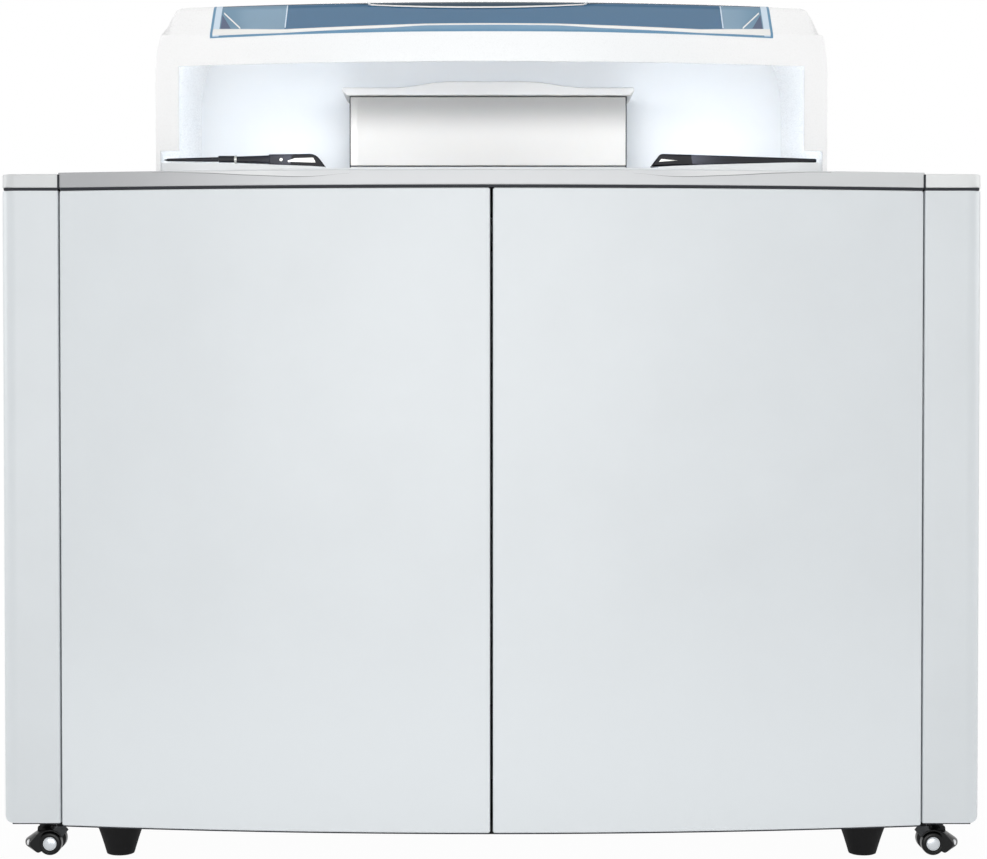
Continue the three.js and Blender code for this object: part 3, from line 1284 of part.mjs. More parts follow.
corners.forEach(([name, side, y]) => {
  const castorPut = (body) => body.rotate([0, 0, side * 90]).translate([side * CASTOR_PLACE_X, castorY(y), 0]);
  place(`${name}_castor_fork`, castorPut(castorFork()), blackPlastic);
  place(`${name}_castor_wheel`, castorPut(castorWheel()), rubberBlack);
  place(`${name}_foot`, levellingFoot().translate([side * FOOT_PLACE_X, y, 0]), rubberBlack);
});

// Services in the cabinet

function tank() {
  const [halfWidth, halfDepth] = [TANK_WIDTH / 2, TANK_DEPTH / 2];
  const top = PAN_TOP + TANK_HEIGHT;
  const body = roundedBlock(halfWidth, halfDepth, TANK_CORNER, [0, 0], PAN_TOP, top);
  const neckTop = top + TANK_NECK_HEIGHT;
  const cap = turned([
    [0, top - OVERRUN],
    [TANK_NECK_RADIUS, top - OVERRUN],
    [TANK_NECK_RADIUS, neckTop],
    [TANK_CAP_RADIUS, neckTop],
    [TANK_CAP_RADIUS, neckTop + TANK_CAP_HEIGHT],
    [0, neckTop + TANK_CAP_HEIGHT],
  ], ROUND_SIDES, [0, -halfDepth / 2, 0]);
  return joined(body, cap);
}

function powerSupply() {
  const [right, back] = [SUPPLY_LEFT + SUPPLY_WIDTH, SUPPLY_FRONT + SUPPLY_DEPTH];
  const box = block([SUPPLY_LEFT, SUPPLY_FRONT, PAN_TOP], [right, back, PAN_TOP + SUPPLY_HEIGHT]);
  const [first, last] = [SUPPLY_LEFT + SUPPLY_SLOT_MARGIN, right - SUPPLY_SLOT_MARGIN - SUPPLY_SLOT_WIDTH];
  const slots = spread(first, last, SUPPLY_SLOTS - 1).map((x) => block(
    [x, SUPPLY_FRONT - OVERRUN, PAN_TOP + SUPPLY_SLOT_MARGIN],
    [x + SUPPLY_SLOT_WIDTH, SUPPLY_FRONT + SUPPLY_SLOT_DEPTH, PAN_TOP + SUPPLY_HEIGHT - SUPPLY_SLOT_MARGIN],
  ));
  return cut(box, ...slots);
}

function pumpUnit() {
  const [right, back] = [PUMP_LEFT + PUMP_BASE_WIDTH, PUMP_FRONT + PUMP_BASE_DEPTH];
  const baseTop = PAN_TOP + PUMP_BASE_THICK;
  const middle = PUMP_LEFT + PUMP_BASE_WIDTH / 2;
  const axis = [middle, PUMP_FRONT + PUMP_HEAD_LENGTH / 2, baseTop + PUMP_HEAD_RADIUS];
  const base = block([PUMP_LEFT, PUMP_FRONT, PAN_TOP], [right, back, baseTop]);
  const head = disc(PUMP_HEAD_RADIUS, 0, PUMP_HEAD_LENGTH, ROUND_SIDES, axis, 'y');
  const motor = disc(PUMP_MOTOR_RADIUS, 0, PUMP_HEAD_LENGTH + PUMP_MOTOR_LENGTH, ROUND_SIDES, axis, 'y');
  const saddle = block(
    [middle - PUMP_SADDLE_WIDTH / 2, axis[1], PAN_TOP],
    [middle + PUMP_SADDLE_WIDTH / 2, axis[1] + PUMP_MOTOR_LENGTH, axis[2]],
  );
  return joined(base, head, motor, saddle);
}

const tankMiddle = TANK_FRONT + TANK_DEPTH / 2;
place('water_tank', tank().translate([-TANK_PLACE_X, tankMiddle, 0]), tankPlastic);
place('waste_tank', tank().translate([TANK_PLACE_X, tankMiddle, 0]), tankPlastic);
place('power_supply', powerSupply(), serviceGrey);
place('pump_unit', pumpUnit(), serviceGrey);

// Fan behind the rear panel: a square frame with a spider and spindle, and a bladed rotor

const FAN_FRONT = FRAME_BACK - FAN_DEPTH;

function fanFrame() {
  const centre = [FAN_PLACE_X, 0, FAN_PLACE_Z];
  const [half, low] = [FAN_HALF, FAN_FRONT];
  const square = block(
    [FAN_PLACE_X - half, low, FAN_PLACE_Z - half],
    [FAN_PLACE_X + half, FRAME_BACK, FAN_PLACE_Z + half],
  );
  const ring = cut(square, disc(FAN_BORE, low - OVERRUN, FRAME_BACK + OVERRUN, FINE_SIDES, centre, 'y'));
  const spokeBack = low + FAN_SPOKE_THICK;
  const spokes = [[half, FAN_SPOKE / 2], [FAN_SPOKE / 2, half]].map(([reachX, reachZ]) => block(
    [FAN_PLACE_X - reachX, low, FAN_PLACE_Z - reachZ],
    [FAN_PLACE_X + reachX, spokeBack, FAN_PLACE_Z + reachZ],
  ));
  const boss = disc(FAN_BOSS_RADIUS, low, spokeBack, ROUND_SIDES, centre, 'y');
  const spindle = disc(FAN_SPINDLE_RADIUS, low, spokeBack + FAN_SPINDLE_LENGTH, SMALL_SIDES, centre, 'y');
  return joined(ring, ...spokes, boss, spindle);
}

function fanRotor() {
  const front = FAN_FRONT + FAN_SPOKE_THICK + TOUCH_GAP;
  const bore = boreFor(FAN_SPINDLE_RADIUS, ROUND_SIDES);
  const hub = turned([
    [bore, 0],
    [FAN_HUB_RADIUS, 0],
    [FAN_HUB_RADIUS, FAN_HUB_LENGTH],
    [bore, FAN_HUB_LENGTH],
    [bore, 0],
  ], ROUND_SIDES);
  const middle = FAN_HUB_LENGTH / 2;
  const blade = block(
    [(bore + FAN_HUB_RADIUS) / 2, -FAN_BLADE_CHORD / 2, -FAN_BLADE_THICK / 2],
    [FAN_BLADE_TIP, FAN_BLADE_CHORD / 2, FAN_BLADE_THICK / 2],
  ).rotate([FAN_BLADE_PITCH, 0, 0]).translate([0, 0, middle]);
  const blades = Array.from({ length: FAN_BLADES }, (_, i) => blade.rotate([0, 0, (360 / FAN_BLADES) * i]));
  return joined(hub, ...blades).rotate([-90, 0, 0]).translate([FAN_PLACE_X, front, FAN_PLACE_Z]);
}

place('fan_frame', fanFrame(), blackPlastic);
place('fan_rotor', fanRotor(), blackPlastic);

// Power inlet with its rocker switch

const ROCKER_Z = INLET_PLACE_Z + ROCKER_RISE;
const ROCKER_AXIS_Y = REAR_FACE - ROCKER_DEPTH / 2;

function powerInlet() {
  const [x, z] = [INLET_PLACE_X, INLET_PLACE_Z];
  const outer = REAR_FACE + INLET_FLANGE;
  const flange = block(
    [x - INLET_HALF_WIDTH - INLET_LIP, REAR_FACE, z - INLET_HALF_HEIGHT - INLET_LIP],
    [x + INLET_HALF_WIDTH + INLET_LIP, outer, z + INLET_HALF_HEIGHT + INLET_LIP],
  );
  const body = block(
    [x - INLET_HALF_WIDTH, REAR_FACE - INLET_BODY_DEPTH, z - INLET_HALF_HEIGHT],
    [x + INLET_HALF_WIDTH, outer, z + INLET_HALF_HEIGHT],
  );
  const socketZ = z - SOCKET_DROP;
  const socket = block(
    [x - SOCKET_HALF_WIDTH, outer - SOCKET_DEPTH, socketZ - SOCKET_HALF_HEIGHT],
    [x + SOCKET_HALF_WIDTH, outer + OVERRUN, socketZ + SOCKET_HALF_HEIGHT],
  );
  const [windowHalf, windowHigh] = [ROCKER_HALF_WIDTH + ROCKER_AIR, ROCKER_HALF_HEIGHT + ROCKER_AIR];
  const window = block(
    [x - windowHalf, REAR_FACE - ROCKER_DEPTH - SOCKET_PIN, ROCKER_Z - windowHigh],
    [x + windowHalf, outer + OVERRUN, ROCKER_Z + windowHigh],
  );
  const socketFloor = outer - SOCKET_DEPTH;
  const pins = [-1, 0, 1].map((i) => x + i * SOCKET_PIN_PITCH).map((middle) => block(
    [middle - SOCKET_PIN / 2, socketFloor - OVERRUN, socketZ - SOCKET_PIN],
    [middle + SOCKET_PIN / 2, socketFloor + SOCKET_PIN_LENGTH, socketZ + SOCKET_PIN],
  ));
  const axle = [x, ROCKER_AXIS_Y, ROCKER_Z];
  const reach = ROCKER_HALF_WIDTH + SOCKET_PIN;
  const rockerPin = disc(ROCKER_PIN_RADIUS, -reach, reach, BORE_SIDES, axle, 'x');
  return joined(cut(joined(flange, body), socket, window), ...pins, rockerPin);
}

function mainSwitch() {
  const half = ROCKER_HALF_HEIGHT - ROCKER_AIR;
  const [low, high] = [-ROCKER_DEPTH / 2 + ROCKER_PROUD, ROCKER_DEPTH / 2 + ROCKER_PROUD];
  const outline = [
    [low, -half / 2],
    [high + ROCKER_PROUD, -half],
    [high, 0],
    [high + ROCKER_PROUD, half],
    [low, half / 2],
  ];
  const reach = ROCKER_HALF_WIDTH + OVERRUN;
  const bore = disc(boreFor(ROCKER_PIN_RADIUS, BORE_SIDES), -reach, reach, BORE_SIDES, [0, 0, 0], 'x');
  const rocker = cut(runAcross(outline, -ROCKER_HALF_WIDTH, ROCKER_HALF_WIDTH), bore);
  return rocker.rotate([-ROCKER_TILT, 0, 0]).translate([INLET_PLACE_X, ROCKER_AXIS_Y, ROCKER_Z]);
}

place('power_inlet', powerInlet(), blackPlastic);
place('main_switch', mainSwitch(), blackPlastic);

export default analyzer;
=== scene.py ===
"""Finished looks of a floor-standing chemistry analyzer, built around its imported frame.

Metres, +Z up, front towards -Y, origin on the floor in the middle of the footprint.
"""

import bmesh
import bpy
import numpy as np
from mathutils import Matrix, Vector
from mathutils.geometry import tessellate_polygon


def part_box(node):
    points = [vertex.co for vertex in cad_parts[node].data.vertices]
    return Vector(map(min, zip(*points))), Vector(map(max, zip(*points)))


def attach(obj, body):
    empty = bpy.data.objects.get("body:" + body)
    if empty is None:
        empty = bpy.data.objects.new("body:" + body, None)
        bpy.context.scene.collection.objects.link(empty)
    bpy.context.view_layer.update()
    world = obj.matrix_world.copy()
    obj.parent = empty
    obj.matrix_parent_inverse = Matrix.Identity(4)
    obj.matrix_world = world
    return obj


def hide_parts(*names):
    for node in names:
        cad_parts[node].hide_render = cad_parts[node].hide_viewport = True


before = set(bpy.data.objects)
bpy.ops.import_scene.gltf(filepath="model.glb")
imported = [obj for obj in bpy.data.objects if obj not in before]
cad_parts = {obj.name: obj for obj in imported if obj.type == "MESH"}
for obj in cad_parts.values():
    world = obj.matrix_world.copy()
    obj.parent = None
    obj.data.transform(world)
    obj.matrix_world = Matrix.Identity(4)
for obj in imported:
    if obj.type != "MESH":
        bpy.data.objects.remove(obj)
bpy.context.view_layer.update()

# Sizes that the frame's boxes don't give, in metres
MM = 0.001
DOOR_BOW = 50 * MM
DOOR_THICK = 18 * MM
DOOR_SKIN = 2 * MM
DOOR_RIM = 22 * MM
PILLAR_RETURN = 18 * MM
PILLAR_SKIN = 2.7 * MM
PILLAR_CORNER = 22 * MM
PILLAR_FOOT_CORNER = 13 * MM
HOOD_BOW = 57 * MM
HOOD_FRONT = -350 * MM
HOOD_WALL = 4 * MM
RAIL_BOTTOM = 1059 * MM
RAIL_TOP = 1100 * MM
VISOR_RUN = 48 * MM
ROOF_FRONT = 1146 * MM
SHOULDER_LOW = 1048 * MM
SHOULDER_WIDTH = 60 * MM
JAMB_WIDTH = 32 * MM
TIP_NOTCH_HALF = 446 * MM
TIP_NOTCH_TOP = 946 * MM
WINDOW_HALF = 376 * MM
WINDOW_LOW = 1102 * MM
WINDOW_BACK = 60 * MM
LOUVRE_PITCH = 24 * MM
CLEAR = 0.3 * MM
WELD = 0.002 * MM

FLAT_STEPS = 24
ROUND_SIDES = 48
EDGE_STEPS = 4
CORNER_STEPS = 5
SLOT_STEPS = 6
LOFT_SIDES = 24
SHARP_ANGLE = np.radians(35)
BEVEL_ANGLE = np.radians(40)
SIDES = ("left", -1), ("right", 1)


def span(node):
    """Lowest and highest corner of a frame node, as two arrays."""
    low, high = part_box(node)
    return np.array(low), np.array(high)


def middle(node):
    """Centre of a frame node's box."""
    low, high = span(node)
    return (low + high) / 2


def mm(*values):
    """Millimetres as an array in metres."""
    return np.array(values) * MM


# Shapes: each is (points, faces), with points as an array of rows


def grid_cells(rows, columns, wrap=False):
    """Corner numbers of the cells between rows of points; wrap closes each row on itself."""
    row, column = np.meshgrid(np.arange(rows - 1), np.arange(columns - (not wrap)), indexing="ij")
    after = (column + 1) % columns
    corners = [row * columns + column, row * columns + after,
               (row + 1) * columns + after, (row + 1) * columns + column]
    return np.stack(corners, -1).reshape(-1, 4)


def merged(*shapes):
    """Several shapes as one, the corner numbers of each counted on from the last."""
    starts = np.cumsum([0] + [len(points) for points, _ in shapes])
    faces = [[int(corner) + int(start) for corner in face]
             for (_, some), start in zip(shapes, starts) for face in some]
    return np.concatenate([points for points, _ in shapes]), faces


def moved(shape, offset):
    """The shape with every point shifted by the same offset."""
    return shape[0] + np.array(offset), shape[1]


def mirrored(shape):
    """The shape with x changed to -x."""
    return shape[0] * np.array([-1, 1, 1]), shape[1]


def sided(shape, side):
    """The shape on the right, or its mirror image on the left."""
    return shape if side > 0 else mirrored(shape)


def facing(shape, side, place):
    """Points (a, b, depth) turned so that depth runs inwards from a face.

    front: (a, place + depth, b). back: (a, place - depth, b). top: (a, b, place - depth).
    right: (place - depth, a, b). left: (place + depth, a, b).
    """
    a, b, depth = shape[0].T
    turned_to = {"front": (a, place + depth, b), "back": (a, place - depth, b),
                 "right": (place - depth, a, b), "left": (place + depth, a, b),
                 "top": (a, b, place - depth)}
    return np.stack(turned_to[side], -1), shape[1]


def eased(corners, radii, steps=EDGE_STEPS, closed=True):
    """An outline with eased corners.

    Near a corner c the line follows (1-t)^2 p + 2t(1-t) c + t^2 q for t from 0 to 1, where p and q lie
    one radius before and after c, at most half a side away. An open outline keeps its two end points.
    """
    corners = np.array(corners, float)
    before, after = np.roll(corners, 1, 0) - corners, np.roll(corners, -1, 0) - corners
    reach = np.linalg.norm(before, axis=1), np.linalg.norm(after, axis=1)
    radii = np.minimum(np.broadcast_to(np.array(radii, float), len(corners)), 0.49 * np.minimum(*reach))
    if not closed:
        radii[[0, -1]] = 0
    start = corners + before * (radii / reach[0])[:, None]
    end = corners + after * (radii / reach[1])[:, None]
    t = np.linspace(0, 1, steps + 1)[None, :, None]
    curve = (1 - t) ** 2 * start[:, None] + 2 * t * (1 - t) * corners[:, None] + t**2 * end[:, None]
    line = curve.reshape(-1, 2)
    step = np.linalg.norm(line - np.roll(line, 1, 0), axis=1)
    return line[(step > WELD) | (np.arange(len(line)) == 0)]


def rim(edge, steps=EDGE_STEPS):
    """Inset edge(1 - sin t) and rise edge(1 - cos t) of a quarter-round rim, t from 0 to 90 degrees."""
    t = np.linspace(0, np.pi / 2, steps + 1)
    return edge * (1 - np.sin(t)), edge * (1 - np.cos(t))


def outward(loop):
    """Step of each point of an anticlockwise outline that moves its edges outwards by one, side by side."""
    ahead = np.roll(loop, -1, 0) - loop
    normal = np.stack([ahead[:, 1], -ahead[:, 0]], 1) / np.linalg.norm(ahead, axis=1)[:, None]
    before = np.roll(normal, 1, 0)
    return (normal + before) / (1 + (normal * before).sum(1))[:, None]


def plate(outer, holes, low, high, edge, steps=EDGE_STEPS, rows=0):
    """A flat plate with holes and quarter-round rims.

    The outer outline runs anticlockwise and each hole clockwise. Each is carried up from low to high
    along w while it draws into the material by rim(edge), with more rows on the straight part where
    asked; the two faces are filled between them.
    """
    inset, rise = rim(edge, steps)
    insets = np.concatenate([inset, np.zeros(rows), inset[::-1]])
    straight = np.linspace(low + edge, high - edge, rows + 2)[1:-1]
    heights = np.concatenate([low + rise, straight, high - rise[::-1]])
    shapes, firsts, lasts, start = [], [], [], 0
    for loop in [outer, *holes]:
        spread = loop[None] - insets[:, None, None] * outward(loop)[None]
        w = np.broadcast_to(heights[:, None, None], (*spread.shape[:2], 1))
        points = np.concatenate([spread, w], 2)
        shapes.append((points.reshape(-1, 3), grid_cells(len(heights), len(loop), wrap=True)))
        firsts.append((start, points[0]))
        lasts.append((start + (len(heights) - 1) * len(loop), points[-1]))
        start += points.shape[0] * points.shape[1]
    points, faces = merged(*shapes)
    for ends in (firsts, lasts):
        numbers = np.concatenate([np.arange(len(loop)) + first for first, loop in ends])
        triangles = tessellate_polygon([[Vector(point) for point in loop] for _, loop in ends])
        faces += [[int(numbers[corner]) for corner in triangle] for triangle in triangles]
    return points, faces


def circle(centre, radius, sides=ROUND_SIDES, clockwise=False):
    """Points centre + radius (cos a, sin a) at even angles a."""
    angle = np.linspace(0, 2 * np.pi, sides, endpoint=False) * (-1 if clockwise else 1)
    return np.array(centre) + radius * np.stack([np.cos(angle), np.sin(angle)], 1)


def stadium(left, right, low, high):
    """A clockwise slot with half-round ends: arcs of half its height about its two end centres."""
    radius = (high - low) / 2
    angle = np.linspace(-np.pi / 2, np.pi / 2, SLOT_STEPS + 1)
    cap = radius * np.stack([np.cos(angle), np.sin(angle)], 1)
    centres = [[right - radius, (low + high) / 2], [left + radius, (low + high) / 2]]
    return np.concatenate([cap + centres[0], centres[1] - cap])[::-1]


def block_rings(left, right, low, high, corner, front, back, edge):
    """Rings of a block: rounded rectangles that draw in by rim(edge) near the front and the back."""
    inset, rise = rim(edge)
    ends = [(inset, front + rise), (inset[::-1], back - rise[::-1])]
    return [(left + i, right - i, low + i, high - i, max(corner - i, WELD), depth)
            for insets, depths in ends for i, depth in zip(insets, depths)]


def tray(rings, run_steps=FLAT_STEPS):
    """Nested rounded rectangles (left, right, low, high, corner, depth) joined in order.

    A ring's upper line runs from left to right as a quarter circle, a straight run and a quarter circle,
    and its lower line mirrors it; the first and the last ring are filled between their two lines.
    """
    t = np.linspace(0, np.pi / 2, CORNER_STEPS + 1)
    share = np.linspace(0, 1, run_steps + 1)[1:-1]
    left, right, low, high, corner, depth = np.array(rings, float).T[:, :, None]
    across = np.concatenate([left + corner * (1 - np.cos(t)),
                             left + corner + share * (right - left - 2 * corner),
                             right - corner * (1 - np.cos(t[::-1]))], 1)
    drop = np.concatenate([corner * (1 - np.sin(t)), 0 * corner * share, corner * (1 - np.sin(t[::-1]))], 1)
    a = np.concatenate([across, across[:, ::-1]], 1)
    b = np.concatenate([high - drop, (low + drop)[:, ::-1]], 1)
    points = np.stack([a, b, np.broadcast_to(depth, a.shape)], -1)
    rows, columns = a.shape
    first = np.arange(columns // 2 - 1)
    cap = np.stack([first, first + 1, columns - 2 - first, columns - 1 - first], 1)
    faces = np.concatenate([grid_cells(rows, columns, wrap=True), cap, cap[:, ::-1] + (rows - 1) * columns])
    return points.reshape(-1, 3), faces


def block(low, high, edge, run_steps=1):
    """A box between two corners with all its edges rounded, standing along z."""
    rings = block_rings(low[0], high[0], low[1], high[1], edge, 0, high[2] - low[2], edge)
    return facing(tray(rings, run_steps), "top", high[2])


def turned(profile, centre=(0, 0, 0), axis="z", sides=ROUND_SIDES):
    """A profile of (radius, height) turned about an axis: (radius cos a, radius sin a, height)."""
    radius, height = np.array(profile, float).T[:, :, None]
    angle = np.linspace(0, 2 * np.pi, sides, endpoint=False)[None]
    u, v = radius * np.cos(angle), radius * np.sin(angle)
    w = np.broadcast_to(height, u.shape)
    order = {"z": (u, v, w), "x": (w, u, v), "y": (v, w, u)}[axis]
    points = np.stack(order, -1).reshape(-1, 3) + np.array(centre)
    return points, grid_cells(len(profile), sides, wrap=True)


def disc_profile(radius, low, high, edge):
    """Profile of a round plate or pin from low to high with eased edges."""
    return eased([[0, low], [radius, low], [radius, high], [0, high]], edge, closed=False)


def lofted(centres, half_widths, half_heights):
    """Rounded-rectangle sections along x.

    At angle a the section is centre + (0, w s(cos a), h s(sin a)), where s keeps the sign and takes the
    square root of the size. Both ends close on their middle.
    """
    centres = np.array(centres, float)
    width, height = np.array(half_widths)[:, None], np.array(half_heights)[:, None]
    angle = np.linspace(0, 2 * np.pi, LOFT_SIDES, endpoint=False)[None]
    y = width * np.sign(np.cos(angle)) * np.abs(np.cos(angle)) ** 0.5
    z = height * np.sign(np.sin(angle)) * np.abs(np.sin(angle)) ** 0.5
    rings = centres[:, None] + np.stack([0 * y, y, z], -1)
    ends = [np.broadcast_to(centres[i], (1, LOFT_SIDES, 3)) for i in (0, -1)]
    points = np.concatenate([ends[0], rings, ends[1]])
    return points.reshape(-1, 3), grid_cells(len(points), LOFT_SIDES, wrap=True)


# Materials: procedural, on Object coordinates


def linear(red, green, blue):
    """The scene value of a colour that shows as these 0 to 255 values."""
    value = np.array([red, green, blue]) / 255
    low, high = value / 12.92, ((value + 0.055) / 1.055) ** 2.4
    return (*np.where(value <= 0.04045, low, high), 1)


def node(tree, kind, inputs=None, **settings):
    """A new shader node with its settings, and its inputs set to values or linked to outputs."""
    made = tree.nodes.new(kind)
    for key, value in settings.items():
        setattr(made, key, value)
    for key, value in (inputs or {}).items():
        if isinstance(value, bpy.types.NodeSocket):
            tree.links.new(value, made.inputs[key])
        else:
            made.inputs[key].default_value = value
    return made


def noise(tree, place, size, detail=2.0):
    """Noise about size metres across, read at place."""
    inputs = {"Vector": place, "Scale": 1 / size, "Detail": detail}
    return node(tree, "ShaderNodeTexNoise", inputs).outputs["Fac"]


def ranged(tree, source, low, high, start=0.3, end=0.7, **settings):
    """source mapped from start..end to low..high."""
    inputs = {"Value": source, "From Min": start, "From Max": end, "To Min": low, "To Max": high}
    return node(tree, "ShaderNodeMapRange", inputs, **settings).outputs["Result"]


def mixed(tree, share, first, second):
    """Colour first where share is 0 and second where it is 1; each is a colour or a link."""
    return node(tree, "ShaderNodeMix", {0: share, 6: first, 7: second}, data_type="RGBA").outputs[2]


def finish(name, colour, rough, grain, depth, patch=120, mottle=0.015, stretch=(1, 1, 1), **shader):
    """A surface whose colour drifts by mottle over patches, with fine grain in its bump and roughness.

    Grain and patches are in millimetres.
    """
    material = bpy.data.materials.new(name)
    material.use_nodes = True
    tree = material.node_tree
    surface = tree.nodes["Principled BSDF"]
    for key, value in shader.items():
        surface.inputs[key.replace("_", " ")].default_value = value
    place = tree.nodes.new("ShaderNodeTexCoord").outputs["Object"]
    stretched = node(tree, "ShaderNodeMapping", {"Vector": place, "Scale": stretch}).outputs["Vector"]
    fine = noise(tree, stretched, grain * MM)
    drift = ranged(tree, noise(tree, stretched, patch * MM, 4.0), 0, 1)
    base = linear(*colour)
    darker = (*(channel * (1 - 2 * mottle) for channel in base[:3]), 1)
    tree.links.new(mixed(tree, drift, darker, base), surface.inputs["Base Color"])
    tree.links.new(ranged(tree, fine, rough * 0.92, min(rough * 1.1, 1)), surface.inputs["Roughness"])
    bump = node(tree, "ShaderNodeBump", {"Height": fine, "Strength": depth, "Distance": grain * MM / 4})
    tree.links.new(bump.outputs["Normal"], surface.inputs["Normal"])
    return material


def shaded_along(material, axis, start, end, colour):
    """Blends the material's base colour towards another along one object axis, from start to end in mm."""
    tree = material.node_tree
    split = node(tree, "ShaderNodeSeparateXYZ", {0: tree.nodes["Texture Coordinate"].outputs["Object"]})
    share = ranged(tree, split.outputs[axis], 0, 1, start * MM, end * MM, interpolation_type="SMOOTHERSTEP")
    base = tree.nodes["Principled BSDF"].inputs["Base Color"]
    tree.links.new(mixed(tree, share, base.links[0].from_socket, linear(*colour)), base)


COAT = {"Coat_Weight": 0.15, "Coat_Roughness": 0.3}
METAL, DULL = "Metallic", "Specular_IOR_Level"

# Colour as shown, roughness, grain in mm, depth of the bump, and what else sets the surface apart
FINISHES = {
    "door_paint": ((224, 229, 232), 0.42, 0.9, 0.05, COAT),
    "pillar_paint": ((220, 225, 228), 0.42, 0.9, 0.05, COAT),
    "panel_paint": ((221, 226, 229), 0.45, 0.9, 0.06, {}),
    "cap_plastic": ((214, 216, 217), 0.38, 0.6, 0.04, {}),
    "worktop_edge": ((213, 215, 217), 0.32, 0.7, 0.05, {"stretch": (0.2, 1, 1)}),
    "deck_plastic": ((247, 249, 250), 0.35, 0.8, 0.04, {}),
    "edge_white": ((229, 230, 231), 0.35, 0.8, 0.04, {}),
    "edge_shadow_line": ((138, 139, 142), 0.5, 0.8, 0.04, {}),
    "console_paint": ((241, 243, 245), 0.4, 0.8, 0.04, {}),
    "station_paint": ((213, 209, 204), 0.45, 0.7, 0.1, {}),
    "plinth_paint": ((208, 205, 201), 0.45, 0.7, 0.06, {}),
    "lid_plastic": ((210, 207, 203), 0.35, 0.8, 0.04, {}),
    "needle_white": ((236, 239, 241), 0.3, 0.8, 0.04, {}),
    "hood_plastic": ((249, 251, 252), 0.28, 1.2, 0.03,
                     {"mottle": 0.006, "Coat_Weight": 0.3, "Coat_Roughness": 0.08}),
    "window_tint": ((44, 109, 151), 0.1, 2, 0.01,
                    {"mottle": 0.03, "IOR": 1.49, "Transmission_Weight": 0.25, DULL: 0.12}),
    "window_lip": ((112, 155, 186), 0.2, 2, 0.02, {"mottle": 0.03, DULL: 0.2}),
    "window_border": ((214, 231, 246), 0.2, 2, 0.01, {DULL: 0.3}),
    # Pale strips that paint the visor's highlight lines
    "window_highlight_line": ((246, 245, 243), 0.2, 1, 0.02, {"mottle": 0.005}),
    "window_brow": ((40, 66, 85), 0.25, 2, 0.02, {"mottle": 0.04, DULL: 0.1}),
    "window_wedge": ((92, 104, 132), 0.25, 2, 0.02, {"mottle": 0.04, DULL: 0.2}),
    "steel_bright": ((200, 204, 208), 0.25, 0.5, 0.1, {"stretch": (0.05, 1, 1), METAL: 1}),
    "steel_zinc": ((168, 172, 176), 0.45, 4, 0.05, {"patch": 20, "mottle": 0.05, METAL: 0.7}),
    "steel_dark": ((58, 60, 64), 0.45, 0.6, 0.1, {"mottle": 0.05, METAL: 0.6}),
    "arm_plastic": ((17, 19, 27), 0.35, 0.5, 0.08, {"mottle": 0.1, DULL: 0.2}),
    "arm_inlay": ((190, 190, 186), 0.3, 0.6, 0.1, {METAL: 0.6}),
    "rubber": ((22, 22, 23), 0.7, 0.7, 0.3, {"mottle": 0.08, DULL: 0.15}),
    "gloss_black": ((16, 17, 18), 0.3, 1, 0.05, {"mottle": 0.1, DULL: 0.2}),
    # A pale colour for the painted highlight on each castor's nose
    "highlight_white": ((240, 241, 243), 0.3, 1, 0.03, {}),
    "dark_seam_and_shade": ((40, 42, 48), 0.6, 0.8, 0.1, {"mottle": 0.05, DULL: 0.3}),
    "disk_plastic": ((226, 232, 236), 0.35, 0.8, 0.05, {}),
    "cup_clear": ((214, 228, 236), 0.1, 1, 0.02, {"Transmission_Weight": 0.5}),
    "cap_blue": ((72, 116, 160), 0.4, 0.8, 0.1, {}),
    "tank_plastic": ((226, 230, 230), 0.4, 2, 0.1,
                     {"patch": 60, "mottle": 0.03, "Subsurface_Weight": 0.15}),
    "service_paint": ((120, 125, 130), 0.45, 1, 0.2, {"mottle": 0.04, METAL: 0.3}),
}
LOOKS = {name: finish(name, *values, **extras) for name, (*values, extras) in FINISHES.items()}

# Left and right ends of the window's darker middle; beyond them the tint is painted lighter, a painted
# reflection
REFLECTION_LEFT, REFLECTION_RIGHT, REFLECTION_BLEND = -275, 309, 1.5

# Colours that change along the object, most of them painted light and shade: surface, axis, start and end
# in mm, and the colour at the end
SHADES = [
    # Painted light: the end caps are painted lighter towards the right
    ("cap_plastic", "X", -500, 500, (228, 230, 230)),
    # Painted light: the hood is painted whiter towards both sides, where the lamps' light falls off
    ("hood_plastic", "X", 120, 420, (255, 255, 255)),
    ("hood_plastic", "X", -120, -420, (255, 255, 255)),
    # Painted shade and reflection: the worktop's front edge darkens towards its left end and comes back
    # almost to its own colour at the right
    ("worktop_edge", "X", -150, -580, (177, 178, 180)),
    ("worktop_edge", "X", 150, 540, (213, 215, 216)),
    # Painted light: the doors are painted lighter towards their foot
    ("door_paint", "Z", 450, 60, (229, 234, 237)),
    ("edge_white", "X", -330, -200, (213, 215, 217)),
    ("edge_white", "X", 200, 330, (229, 230, 231)),
    # Painted reflection: the window's tint is lighter beyond the ends of its middle
    ("window_tint", "X", REFLECTION_LEFT, REFLECTION_LEFT - REFLECTION_BLEND, (132, 168, 193)),
    ("window_tint", "X", REFLECTION_RIGHT, REFLECTION_RIGHT + REFLECTION_BLEND, (132, 168, 193)),
    # Painted shadow under the lid: the wash station's grey front darkens towards its top
    ("station_paint", "Z", 993, 1062, (151, 149, 146)),
]
for name, *shade in SHADES:
    shaded_along(LOOKS[name], *shade)


# Pieces


